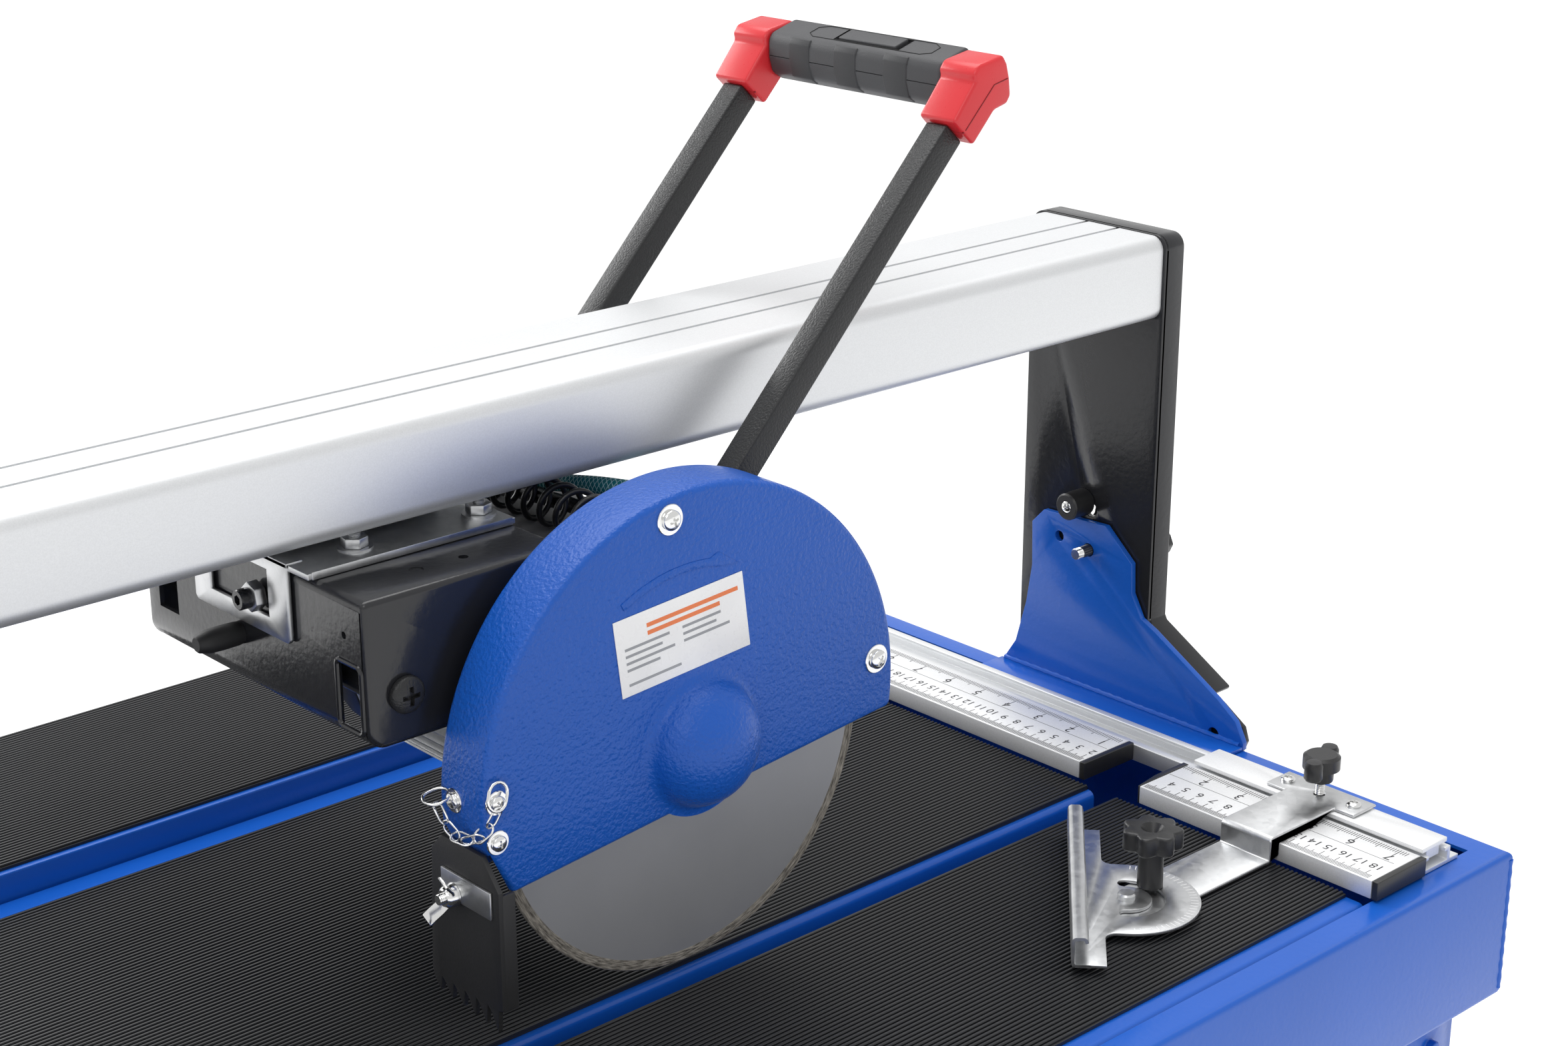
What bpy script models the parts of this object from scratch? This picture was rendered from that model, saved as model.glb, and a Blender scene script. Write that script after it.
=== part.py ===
"""Rail tile saw with a tilting rail, a sliding plunge head, a mitre gauge and folding legs.

Axes: X along the rail, Y from the operator's side to the back, Z up, in metres.
Places are written in the machine frame: X = 0 at the middle of the table, Y = 0 on
the cut line, Z = 0 on the floor. ORIGIN then moves the whole saw so that the middle
of its footprint is at the world origin.
"""

import bmesh
import bpy
from math import asin, atan2, cos, degrees, hypot, pi, radians, sin
from mathutils import Matrix, Vector

GAP = 0.0003
ORIGIN = Vector((0.0, 0.1245, 0.0))

# Table and tub
TABLE_H = 0.672
TUB_HALF = 0.625
TUB_FRONT, TUB_BACK = -0.206, 0.300
TUB_TOP, TUB_BOTTOM = TABLE_H - 0.001, TABLE_H - 0.089
SHEET = 0.0018
FLANGE = 0.0155
PLATE_HALF = 0.5165
FRONT_PLATE = (-0.186, -0.0085)
REAR_PLATE = (0.0030, 0.285)
MAT = 0.003
FRONT_MAT = (-0.174, -0.013)
REAR_MAT = (0.0075, 0.281)
DRAIN = (-0.50, TUB_BOTTOM + 0.020)
SIDE_TABLE = (0.3015, 0.467)
SIDE_TABLE_HALF = 0.400
SIDE_TABLE_RISE = 0.016

# Ruler and end rail
RULER_X = 0.518
RULER_W = 0.044
RULER_TOP = TABLE_H + 0.011
RULER_FRONT = (-0.188, -0.029)
RULER_REAR = (0.0165, 0.262)
RAIL_X = (0.5625, 0.5875)
RAIL_Y = (-0.190, 0.266)

# Tilting rail
MITRE_Z = TABLE_H + 0.003
BRACKET_X = 0.6205
BRACKET_T = 0.004
UPRIGHT_X = 0.6255
UPRIGHT_T = 0.0035
UPRIGHT_LIP = 0.0175
UPRIGHT_Y = (0.0585, 0.163)
UPRIGHT_TOP = TABLE_H + 0.2975
BEAM_Y = (0.060, 0.160)
BEAM_Z = (TABLE_H + 0.247, TABLE_H + 0.297)
BEAM_WALL = 0.003
BEAM_SLOT = (0.098, 0.122)
STUD = (0.104, TABLE_H + 0.093)
ARC_LIMIT = 45.0

# Carriage
BOX_X = (0.040, 0.154)
BOX_Y = (0.022, 0.215)
BOX_Z = (TABLE_H + 0.160, TABLE_H + 0.232)
CARRIAGE_PLATE_X = (0.038, 0.154)
CARRIAGE_PLATE_Y = (0.062, 0.158)
ROLLER_X = (0.062, 0.130)
ROLLER_R = 0.013
ROLLER_GAUGE = (0.014, 0.026)
WEB = (0.107, 0.113)

# Plunge head
PIVOT = (0.060, TABLE_H + 0.184)
PIVOT_R = 0.006
ARM_Y = (0.0395, 0.1805)
SPINDLE = (0.205, TABLE_H + 0.121)
MOTOR_R = 0.0615
MOTOR_Y = (0.0175, 0.200)
BLADE_R = 0.115
BLADE_T = 0.0024
BLADE_BORE = 0.0127
GUARD_C = (0.199, TABLE_H + 0.132)
GUARD_R = 0.129
GUARD_Y = (-0.020, 0.014)
GUARD_WALL = 0.002
GUARD_RIGHT_Z = TABLE_H + 0.1137
GUARD_HEEL = (0.085, TABLE_H + 0.090)
BOSS_R, BOSS_H = 0.036, 0.024
FLAP_X = (0.0705, 0.0735)
FLAP_Y = (-0.0235, 0.026)
FLAP_Z = (TABLE_H + 0.028, TABLE_H + 0.113)

# Handle
GRIP = (0.432, TABLE_H + 0.414)
GRIP_Y = (0.0435, 0.1755)
TUBE = 0.015
LEAN = radians(46.6)
FRONT_TUBE_Y = 0.0316
REAR_TUBE_Y = 0.1884
TUBE_FOOT_Z = TABLE_H + 0.188
LEVER_Y = (0.083, 0.126)

# Mitre gauge
SLIDER_X = (0.5635, 0.5865)
GAUGE_Y = -0.1105
GAUGE_PIN = (0.417, -0.106)
FENCE_ANGLE = radians(42.5)

# Legs
LEG_X = 0.585
LEG_Z = TUB_BOTTOM - 0.026
LEG = 0.032
LEG_SPLAY = radians(5.0)
LEG_Y = (-0.170, 0.264)

BLUE = ("blue paint", (0.010, 0.060, 0.42), 0.35, 0.0)
BLACK_PAINT = ("black paint", (0.010, 0.010, 0.012), 0.30, 0.0)
RUBBER = ("rubber", (0.012, 0.012, 0.012), 0.75, 0.0)
PLASTIC = ("black plastic", (0.016, 0.016, 0.017), 0.45, 0.0)
RED = ("red plastic", (0.62, 0.012, 0.016), 0.35, 0.0)
ALUMINIUM = ("aluminium", (0.70, 0.71, 0.72), 0.32, 1.0)
ZINC = ("zinc plate", (0.62, 0.62, 0.60), 0.22, 1.0)
STEEL = ("steel", (0.42, 0.42, 0.43), 0.38, 1.0)
GREY = ("grey paint", (0.13, 0.13, 0.135), 0.55, 0.0)
HOSE = ("hose", (0.02, 0.28, 0.30), 0.35, 0.0)

bodies = {}


def clear_scene():
    for obj in list(bpy.data.objects):
        bpy.data.objects.remove(obj)


def material(spec):
    name, colour, roughness, metallic = spec
    made = bpy.data.materials.get(name)
    if made is None:
        made = bpy.data.materials.new(name)
        made.use_nodes = True
        shader = made.node_tree.nodes["Principled BSDF"]
        shader.inputs["Base Color"].default_value = (*colour, 1.0)
        shader.inputs["Roughness"].default_value = roughness
        shader.inputs["Metallic"].default_value = metallic
    return made


def add_body(name, pivot, parent=None):
    """An empty on the body's joint, given as a point of the machine frame."""
    empty = bpy.data.objects.new("body_" + name, None)
    bpy.context.scene.collection.objects.link(empty)
    pivot = Vector(pivot)
    if parent:
        empty.parent = bodies[parent][0]
        empty.location = pivot - bodies[parent][1]
    else:
        empty.location = pivot - ORIGIN
    bodies[name] = (empty, pivot)


def add(name, mesh, body, spec, smooth=False):
    """A piece made in the machine frame and hung on its body's empty."""
    empty, pivot = bodies[body]
    mesh.transform(Matrix.Translation(-pivot))
    mesh.materials.append(material(spec))
    if smooth:
        mesh.shade_smooth()
        mesh.set_sharp_from_angle(angle=radians(35))
    piece = bpy.data.objects.new(name, mesh)
    piece.parent = empty
    bpy.context.scene.collection.objects.link(piece)
    return piece


def to_mesh(name, bm):
    bmesh.ops.recalc_face_normals(bm, faces=bm.faces)
    mesh = bpy.data.meshes.new(name)
    bm.to_mesh(mesh)
    bm.free()
    return mesh


def at(axis, u, v, w):
    """A point from two coordinates across the axis and one along it."""
    if axis == "x":
        return Vector((w, u, v))
    if axis == "y":
        return Vector((u, w, v))
    return Vector((u, v, w))


def prism_mesh(name, outline, axis, low, high):
    bm = bmesh.new()
    face = bm.faces.new([bm.verts.new(at(axis, u, v, low)) for u, v in outline])
    top = bmesh.ops.extrude_face_region(bm, geom=[face])["geom"]
    moved = [g for g in top if isinstance(g, bmesh.types.BMVert)]
    bmesh.ops.translate(bm, verts=moved, vec=at(axis, 0, 0, high - low))
    return to_mesh(name, bm)


def prism(name, outline, axis, low, high, body, spec, smooth=False):
    return add(name, prism_mesh(name, outline, axis, low, high), body, spec, smooth)


def block(name, x, y, z, body, spec):
    outline = [(x[0], y[0]), (x[1], y[0]), (x[1], y[1]), (x[0], y[1])]
    return prism(name, outline, "z", z[0], z[1], body, spec)


def turned_mesh(name, profile, centre, axis, segments, closed=False):
    """Revolves (radius, distance along the axis) points about the axis through centre."""
    bm = bmesh.new()
    rings = []
    for radius, along in profile:
        count = 1 if radius < 1e-7 else segments
        ring = []
        for k in range(count):
            a = 2 * pi * k / segments
            ring.append(bm.verts.new(at(axis, centre[0] + radius * cos(a), centre[1] + radius * sin(a), along)))
        rings.append(ring)
    pairs = list(zip(rings, rings[1:]))
    if closed:
        pairs.append((rings[-1], rings[0]))
    for one, two in pairs:
        for k in range(segments):
            j = (k + 1) % segments
            corners = [one[k % len(one)], one[j % len(one)], two[j % len(two)], two[k % len(two)]]
            kept = [c for n, c in enumerate(corners) if c not in corners[:n]]
            if len(kept) > 2:
                bm.faces.new(kept)
    return to_mesh(name, bm)


def turned(name, profile, centre, axis, body, spec, segments=24, closed=False):
    mesh = turned_mesh(name, profile, centre, axis, segments, closed)
    return add(name, mesh, body, spec, smooth=True)


def disc(name, radius, low, high, centre, axis, body, spec, segments=24):
    return turned(name, [(0, low), (radius, low), (radius, high), (0, high)], centre, axis, body, spec, segments)


def ring(name, inner, outer, low, high, centre, axis, body, spec, segments=24):
    profile = [(inner, low), (outer, low), (outer, high), (inner, high)]
    return turned(name, profile, centre, axis, body, spec, segments, closed=True)


def bar(name, start, end, width, depth, body, spec, side=(0, 1, 0)):
    """A straight square bar from start to end; width lies along side."""
    start, end, side = Vector(start), Vector(end), Vector(side)
    along = end - start
    across = along.cross(side).normalized() * depth / 2
    side = side.normalized() * width / 2
    bm = bmesh.new()
    near = [bm.verts.new(start + p) for p in (-side - across, side - across, side + across, -side + across)]
    far = [bm.verts.new(v.co + along) for v in near]
    bm.faces.new(near)
    bm.faces.new(far)
    for k in range(4):
        j = (k + 1) % 4
        bm.faces.new((near[k], near[j], far[j], far[k]))
    return add(name, to_mesh(name, bm), body, spec)


def combine(piece, tool, operation):
    """Joins the tool to the piece, or cuts it away; the tool is left as a hidden guide."""
    tool.hide_render = True
    tool.display_type = "WIRE"
    step = piece.modifiers.new(operation.title() + "_" + tool.name[:20], "BOOLEAN")
    step.operation = operation
    step.object = tool
    return piece


def cut(piece, *tools):
    for tool in tools:
        combine(piece, tool, "DIFFERENCE")
    return piece


def join(piece, *tools):
    for tool in tools:
        combine(piece, tool, "UNION")
    return piece


def bore(piece, radius, low, high, centre, axis, body, segments=16):
    name = "cut_{}_{}".format(piece.name, len(piece.modifiers))
    return cut(piece, disc(name, radius, low, high, centre, axis, body, ZINC, segments))


def rounded(x, z, radius, steps=4):
    """A rectangle's outline with round corners."""
    points = []
    corners = ((x[1], z[0], -90), (x[1], z[1], 0), (x[0], z[1], 90), (x[0], z[0], 180))
    for cx, cz, turn in corners:
        ox = cx - radius if cx == x[1] else cx + radius
        oz = cz - radius if cz == z[1] else cz + radius
        for k in range(steps + 1):
            a = radians(turn + 90 * k / steps)
            points.append((ox + radius * cos(a), oz + radius * sin(a)))
    return points


def arc(centre, radius, start, end, steps):
    """Points on a circle between two angles in degrees."""
    turns = [radians(start + (end - start) * k / steps) for k in range(steps + 1)]
    return [(centre[0] + radius * cos(a), centre[1] + radius * sin(a)) for a in turns]


def along_arm(u, v):
    """A point of the XZ plane, u up the leaning handle tube and v to its lower right."""
    return (GRIP[0] + u * cos(LEAN) + v * sin(LEAN), GRIP[1] + u * sin(LEAN) - v * cos(LEAN))


def lobed(centre, inner, outer, lobes, steps=6):
    """The outline of a lobed hand knob."""
    count = lobes * steps
    points = []
    for k in range(count):
        a = 2 * pi * k / count
        r = (inner + outer) / 2 + (outer - inner) / 2 * cos(lobes * a)
        points.append((centre[0] + r * cos(a), centre[1] + r * sin(a)))
    return points


def make_bodies():
    add_body("frame", (0, 0, 0))
    add_body("rail", (0, 0, MITRE_Z), "frame")
    add_body("carriage", (ROLLER_X[0], 0.11, BEAM_Z[0]), "rail")
    add_body("roller_left", (ROLLER_X[0], 0.11, roller_z()), "carriage")
    add_body("roller_right", (ROLLER_X[1], 0.11, roller_z()), "carriage")
    add_body("head", (PIVOT[0], BOX_Y[0], PIVOT[1]), "carriage")
    add_body("spindle", (SPINDLE[0], 0, SPINDLE[1]), "head")
    add_body("lever", at("y", *lever_axis(), LEVER_Y[0]), "head")
    add_body("flap", (FLAP_X[0], 0, FLAP_Z[1]), "head")
    add_body("wing_nut", (FLAP_X[0], 0.004, TABLE_H + 0.087), "flap")
    for side, sign in (("right", 1), ("left", -1)):
        add_body("knob_" + side, (sign * UPRIGHT_X, *STUD), "frame")
        add_body("legs_" + side, (sign * LEG_X, 0, LEG_Z), "frame")
    add_body("gauge", (RULER_X, GAUGE_Y, RULER_TOP), "frame")
    add_body("thumb_knob", (0.576, GAUGE_Y, RULER_TOP), "gauge")
    add_body("protractor", (*GAUGE_PIN, TABLE_H), "gauge")
    add_body("gauge_knob", (GAUGE_PIN[0] + 0.020, GAUGE_PIN[1] + 0.001, TABLE_H), "gauge")
    add_body("drain_plug", (DRAIN[0], TUB_FRONT, DRAIN[1]), "frame")


def roller_z():
    return BEAM_Z[0] + BEAM_WALL + ROLLER_R + GAP


def on_grip(s, h):
    """A point on the grip's sloping top face: s back from its front edge and h above it."""
    tilt = radians(17.4)
    x, z = GRIP[0] - 0.0107, GRIP[1] + 0.0103
    return (x + s * cos(tilt) - h * sin(tilt), z + s * sin(tilt) + h * cos(tilt))


def lever_axis():
    return on_grip(0.0050, -0.0015)


def make_tub():
    """The welded sheet tub: floor, four walls, a flange turned in all round, two low cross ribs."""
    x = (-TUB_HALF, TUB_HALF)
    y = (TUB_FRONT, TUB_BACK)
    tub = block("tub_frame", x, y, (TUB_BOTTOM, TUB_TOP), "frame", BLUE)
    inner_x = (x[0] + SHEET, x[1] - SHEET)
    inner_y = (y[0] + SHEET, y[1] - SHEET)
    hollow = block("cut_tub_hollow", inner_x, inner_y, (TUB_BOTTOM + SHEET, TUB_TOP - SHEET), "frame", BLUE)
    mouth_x = (x[0] + FLANGE + 0.010, x[1] - FLANGE - 0.010)
    mouth_y = (y[0] + FLANGE, y[1] - FLANGE)
    mouth = block("cut_tub_mouth", mouth_x, mouth_y, (TUB_TOP - 0.02, TUB_TOP + 0.01), "frame", BLUE)
    cut(tub, hollow, mouth)
    for n, centre in enumerate((-0.36, 0.36)):
        rib = block(
            "join_rib_%d" % n,
            (centre - 0.015, centre + 0.015),
            (y[0] + 0.001, y[1] - 0.001),
            (TUB_BOTTOM + 0.001, TABLE_H - 0.040),
            "frame",
            BLUE,
        )
        join(tub, rib)
    bore(tub, 0.011, TUB_FRONT - 0.01, TUB_FRONT + 0.01, DRAIN, "y", "frame")


def make_plate(name, y, mat):
    """A table plate with its long edges bent down, and feet that stand on the tub's ribs."""
    x = (-PLATE_HALF, PLATE_HALF)
    top = TABLE_H - MAT - GAP
    t = 0.003
    drop = 0.014
    outline = [
        (y[0], top - drop),
        (y[0] + t, top - drop),
        (y[0] + t, top - t),
        (y[1] - t, top - t),
        (y[1] - t, top - drop),
        (y[1], top - drop),
        (y[1], top - 0.002),
        (y[1] - 0.002, top),
        (y[0] + 0.002, top),
        (y[0], top - 0.002),
    ]
    plate = prism("table_" + name, outline, "x", x[0], x[1], "frame", BLUE)
    middle = (y[0] + y[1]) / 2
    for n, foot in enumerate((-0.36, 0.36)):
        post = block(
            "join_%s_post_%d" % (name, n),
            (foot - 0.012, foot + 0.012),
            (middle - 0.05, middle + 0.05),
            (TABLE_H - 0.040 + GAP, top - 0.001),
            "frame",
            BLUE,
        )
        join(plate, post)
    block("mat_" + name, (x[0] + 0.0005, x[1] - 0.0005), mat, (TABLE_H - MAT, TABLE_H), "frame", RUBBER)


def make_side_table():
    """A tray that hooks over the tub's back edge and carries a mat of its own."""
    x = (-SIDE_TABLE_HALF, SIDE_TABLE_HALF)
    y = SIDE_TABLE
    top = TABLE_H + SIDE_TABLE_RISE
    t = 0.003
    low = TUB_TOP - 0.040
    outline = [
        (y[0], low),
        (y[0] + t, low),
        (y[0] + t, top - t - 0.003),
        (y[1] - t, top - t - 0.003),
        (y[1] - t, low + 0.022),
        (y[1], low + 0.022),
        (y[1], top - 0.003),
        (y[0], top - 0.003),
    ]
    tray = prism("side_table", outline, "x", x[0], x[1], "frame", BLUE)
    for n, place in enumerate((-0.36, 0.36)):
        gusset = prism(
            "join_gusset_%d" % n,
            [(y[0] + 0.001, low), (y[0] + 0.001, top - 0.004), (y[1] - 0.03, top - 0.004)],
            "x",
            place - 0.002,
            place + 0.002,
            "frame",
            BLUE,
        )
        join(tray, gusset)
    block("mat_side", (x[0] + 0.005, x[1] - 0.005), (y[0] + 0.004, y[1] - 0.004), (top - 0.003 + GAP, top), "frame", RUBBER)


def make_rulers():
    low = TABLE_H + GAP
    x = (RULER_X, RULER_X + RULER_W)
    for name, y in (("front", RULER_FRONT), ("rear", RULER_REAR)):
        block("ruler_" + name, x, y, (low, RULER_TOP), "frame", ALUMINIUM)
    cap = 0.004
    chamfered = [
        (x[0], RULER_FRONT[1] + GAP),
        (x[1], RULER_FRONT[1] + GAP),
        (x[1], RULER_FRONT[1] + cap),
        (x[0] + 0.018, RULER_FRONT[1] + cap),
        (x[0], RULER_FRONT[1] + GAP + 0.0008),
    ]
    prism("ruler_cap_front_slot", chamfered, "z", low, RULER_TOP, "frame", PLASTIC)
    front_end = (RULER_FRONT[0] - cap, RULER_FRONT[0] - GAP)
    rear_end = (RULER_REAR[0] - cap, RULER_REAR[0] - GAP)
    block("ruler_cap_front_end", x, front_end, (low, RULER_TOP), "frame", PLASTIC)
    block("ruler_cap_rear_slot", x, rear_end, (low, RULER_TOP), "frame", PLASTIC)


def make_end_rail():
    """The slotted rail that stands on the tub's end flange beside the rulers."""
    low = TUB_TOP + GAP
    top = RULER_TOP - 0.0015
    x0, x1 = RAIL_X
    lip = 0.005
    wall = 0.0025
    outline = [
        (x0, low),
        (x1 + 0.008, low),
        (x1 + 0.008, low + wall),
        (x1, low + wall),
        (x1, top),
        (x1 - lip, top),
        (x1 - lip, top - wall),
        (x1 - wall, top - wall),
        (x1 - wall, low + wall),
        (x0 + wall, low + wall),
        (x0 + wall, top - wall),
        (x0 + lip, top - wall),
        (x0 + lip, top),
        (x0, top),
    ]
    prism("end_rail", outline, "y", RAIL_Y[0], RAIL_Y[1], "frame", ALUMINIUM)


def make_bracket(side, sign):
    """The welded end bracket, with the mitre pivot bolt through its low front corner."""
    t = TABLE_H
    outline = [
        (0.151, t + 0.100),
        (0.1415, t + 0.110),
        (0.091, t + 0.112),
        (0.069, t + 0.093),
        (0.068, t + 0.074),
        (0.060, t + 0.060),
        (0.0490, t + 0.055),
        (-0.002, t + 0.026),
        (-0.016, t + 0.016),
        (-0.0225, t + 0.004),
        (-0.0225, TUB_TOP + GAP),
        (0.173, TUB_TOP + GAP),
        (0.162, t + 0.016),
        (0.154, t + 0.045),
        (0.150, t + 0.071),
    ]
    low, high = sorted((sign * BRACKET_X, sign * (BRACKET_X + BRACKET_T)))
    bracket = prism("end_bracket_" + side, outline, "x", low, high, "frame", BLUE)
    bore(bracket, 0.0042, low - 0.01, high + 0.01, (0.0, MITRE_Z), "x", "frame")
    bore(bracket, 0.0042, low - 0.01, high + 0.01, STUD, "x", "frame")
    bore(bracket, 0.0035, low - 0.01, high + 0.01, (0.128, t + 0.096), "x", "frame")


def make_pivot_bolt(side, sign):
    far = UPRIGHT_X + UPRIGHT_T
    profile = [
        (0, BRACKET_X - 0.002),
        (0.0036, BRACKET_X - 0.002),
        (0.0036, far + GAP),
        (0.0085, far + GAP),
        (0.0085, far + 0.0065),
        (0, far + 0.0065),
    ]
    profile = [(r, sign * d) for r, d in profile]
    turned("mitre_bolt_" + side, profile, (0.0, MITRE_Z), "x", "frame", ZINC, 12)


def slot_outline(radius, half, start, end, steps=10):
    """An arc slot about the mitre axis, between two angles in degrees."""
    centre = (0.0, MITRE_Z)
    outer = arc(centre, radius + half, start, end, steps)
    inner = arc(centre, radius - half, end, start, steps)
    return outer + inner


def make_upright(side, sign):
    """The black end plate of the rail: flat web, edges turned out, arc slot for the lock stud."""
    t = TABLE_H
    web = [
        (UPRIGHT_Y[0] + 0.010, UPRIGHT_TOP),
        (UPRIGHT_Y[0], UPRIGHT_TOP - 0.010),
        (UPRIGHT_Y[0], t + 0.056),
        (-0.0022, t + 0.0215),
        (-0.018, t + 0.0115),
        (-0.021, MITRE_Z),
        (-0.015, MITRE_Z - 0.015),
        (0.0, MITRE_Z - 0.021),
        (UPRIGHT_Y[1], MITRE_Z - 0.021),
        (UPRIGHT_Y[1], UPRIGHT_TOP - 0.010),
        (UPRIGHT_Y[1] - 0.010, UPRIGHT_TOP),
    ]
    near, far = UPRIGHT_X, UPRIGHT_X + UPRIGHT_T
    low, high = sorted((sign * near, sign * far))
    plate = prism("upright_" + side, web, "x", low, high, "rail", BLACK_PAINT)
    outer = sorted((sign * (near + 0.001), sign * (near + UPRIGHT_LIP)))
    lip = 0.003
    front = [
        (UPRIGHT_Y[0], t + 0.056),
        (0.0060, t + 0.0262),
        (0.0075, t + 0.0236),
        (UPRIGHT_Y[0] + lip, t + 0.0543),
        (UPRIGHT_Y[0] + lip, UPRIGHT_TOP - 0.011),
        (UPRIGHT_Y[0] + 0.011, UPRIGHT_TOP - lip),
        (UPRIGHT_Y[1] - 0.011, UPRIGHT_TOP - lip),
        (UPRIGHT_Y[1] - lip, UPRIGHT_TOP - 0.011),
        (UPRIGHT_Y[1] - lip, MITRE_Z - 0.018),
        (UPRIGHT_Y[1], MITRE_Z - 0.018),
        (UPRIGHT_Y[1], UPRIGHT_TOP - 0.010),
        (UPRIGHT_Y[1] - 0.010, UPRIGHT_TOP),
        (UPRIGHT_Y[0] + 0.010, UPRIGHT_TOP),
        (UPRIGHT_Y[0], UPRIGHT_TOP - 0.010),
    ]
    join(plate, prism("join_lip_" + side, front, "x", outer[0], outer[1], "rail", BLACK_PAINT))
    bore(plate, 0.0043, low - 0.01, high + 0.01, (0.0, MITRE_Z), "x", "rail")
    bore(plate, 0.0045, low - 0.01, high + 0.01, (0.1075, t + 0.1175), "x", "rail")
    reach = hypot(STUD[0], STUD[1] - MITRE_Z)
    turn = degrees(atan2(STUD[1] - MITRE_Z, STUD[0]))
    slot = slot_outline(reach, 0.0048, turn - ARC_LIMIT - 2.5, turn + 2.5)
    cut(plate, prism("cut_arc_" + side, slot, "x", low - 0.01, high + 0.01, "rail", ZINC))


def make_beam():
    """The rail extrusion: a closed-top channel whose bottom slot takes the carriage web."""
    y, z, w = BEAM_Y, BEAM_Z, BEAM_WALL
    s = BEAM_SLOT
    r = 0.008
    outline = [
        (s[0], z[0]),
        (y[0] + r, z[0]),
        (y[0] + r * 0.3, z[0] + r * 0.3),
        (y[0], z[0] + r),
        (y[0], z[1] - r),
        (y[0] + r * 0.3, z[1] - r * 0.3),
        (y[0] + r, z[1]),
        (y[1] - r, z[1]),
        (y[1] - r * 0.3, z[1] - r * 0.3),
        (y[1], z[1] - r),
        (y[1], z[0] + r),
        (y[1] - r * 0.3, z[0] + r * 0.3),
        (y[1] - r, z[0]),
        (s[1], z[0]),
        (s[1], z[0] + w),
        (y[1] - r, z[0] + w),
        (y[1] - w, z[0] + r),
        (y[1] - w, z[1] - r),
        (y[1] - r, z[1] - w),
        (y[0] + r, z[1] - w),
        (y[0] + w, z[1] - r),
        (y[0] + w, z[0] + r),
        (y[0] + r, z[0] + w),
        (s[0], z[0] + w),
    ]
    end = UPRIGHT_X - GAP
    prism("beam", outline, "x", -end, end, "rail", ALUMINIUM)


def make_stop(side, sign):
    """The round stop that rests on the bracket when the rail is upright."""
    centre = (0.113, TABLE_H + 0.112 + 0.0085 + GAP)
    near = BRACKET_X - 0.012
    profile = [(0, near), (0.0085, near), (0.0085, UPRIGHT_X - GAP), (0, UPRIGHT_X - GAP)]
    turned("mitre_stop_" + side, [(r, sign * d) for r, d in profile], centre, "x", "rail", PLASTIC, 20)


def make_lock_knob(side, sign):
    """Star knob and its stud, which screws into the bracket through the arc slot."""
    body = "knob_" + side
    head = UPRIGHT_X + UPRIGHT_T
    shaft = [(0, BRACKET_X - 0.008), (0.0038, BRACKET_X - 0.008), (0.0038, head + 0.024), (0, head + 0.024)]
    knob = turned("lock_knob_" + side, [(r, sign * d) for r, d in shaft], STUD, "x", body, PLASTIC, 12)
    low, high = sorted((sign * (head + 0.018), sign * (head + 0.039)))
    star = prism("join_star_" + side, lobed(STUD, 0.023, 0.029, 6, 5), "x", low, high, body, PLASTIC)
    low, high = sorted((sign * (head + GAP), sign * (head + 0.019)))
    hub = disc("join_hub_" + side, 0.010, low, high, STUD, "x", body, PLASTIC, 16)
    join(knob, star, hub)


def make_carriage():
    """The plated plate, with a web that rises through the beam's slot and holds the rollers."""
    low = BOX_Z[1] + GAP
    plate = block("carriage_plate", CARRIAGE_PLATE_X, CARRIAGE_PLATE_Y, (low, low + 0.003), "carriage", ZINC)
    web_x = (ROLLER_X[0] - 0.012, ROLLER_X[1] + 0.012)
    web = block("join_web", web_x, WEB, (low + 0.001, roller_z() + 0.009), "carriage", ZINC)
    join(plate, web)
    for x in ROLLER_X:
        bore(plate, 0.0045, WEB[0] - 0.01, WEB[1] + 0.01, (x, roller_z()), "y", "carriage", 16)
    for side, x in zip(("left", "right"), ROLLER_X):
        near, far = ROLLER_GAUGE
        half = [(0, -far), (ROLLER_R, -far), (ROLLER_R, -near), (0.004, -near)]
        profile = half + [(r, -d) for r, d in reversed(half)]
        profile = [(r, 0.110 + d) for r, d in profile]
        turned("roller_" + side, profile, (x, roller_z()), "y", "roller_" + side, STEEL, 20)


def make_box():
    """The black sheet housing under the beam: top, front, back and left walls, with a window."""
    t = 0.0025
    x, y, z = BOX_X, BOX_Y, BOX_Z
    r = 0.010
    outline = [(x[0] + r, z[0]), (x[0], z[0] + r), (x[0], z[1]), (x[1], z[1]), (x[1], z[0])]
    box = prism("carriage_box", outline, "y", y[0], y[1], "carriage", BLACK_PAINT)
    inner = block("cut_box", (x[0] + t, x[1] + 0.01), (y[0] + t, y[1] - t), (z[0] - 0.01, z[1] - t), "carriage", BLUE)
    window = block(
        "cut_window",
        (x[0] - 0.01, x[0] + 0.01),
        (y[0] + 0.006, y[0] + 0.032),
        (z[0] + 0.010, z[0] + 0.038),
        "carriage",
        BLUE,
    )
    cut(box, inner, window)
    for place in (y[0] + 0.001, y[1] - 0.001):
        bore(box, PIVOT_R + GAP, place - 0.01, place + 0.01, PIVOT, "y", "carriage")
    pin = [
        (0, y[0] - 0.0045),
        (0.0090, y[0] - 0.0045),
        (0.0090, y[0] - GAP),
        (PIVOT_R, y[0] - GAP),
        (PIVOT_R, y[1] + GAP),
        (0.0090, y[1] + GAP),
        (0.0090, y[1] + 0.0045),
        (0, y[1] + 0.0045),
    ]
    turned("plunge_pin", pin, PIVOT, "y", "carriage", BLACK_PAINT, 20)


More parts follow.
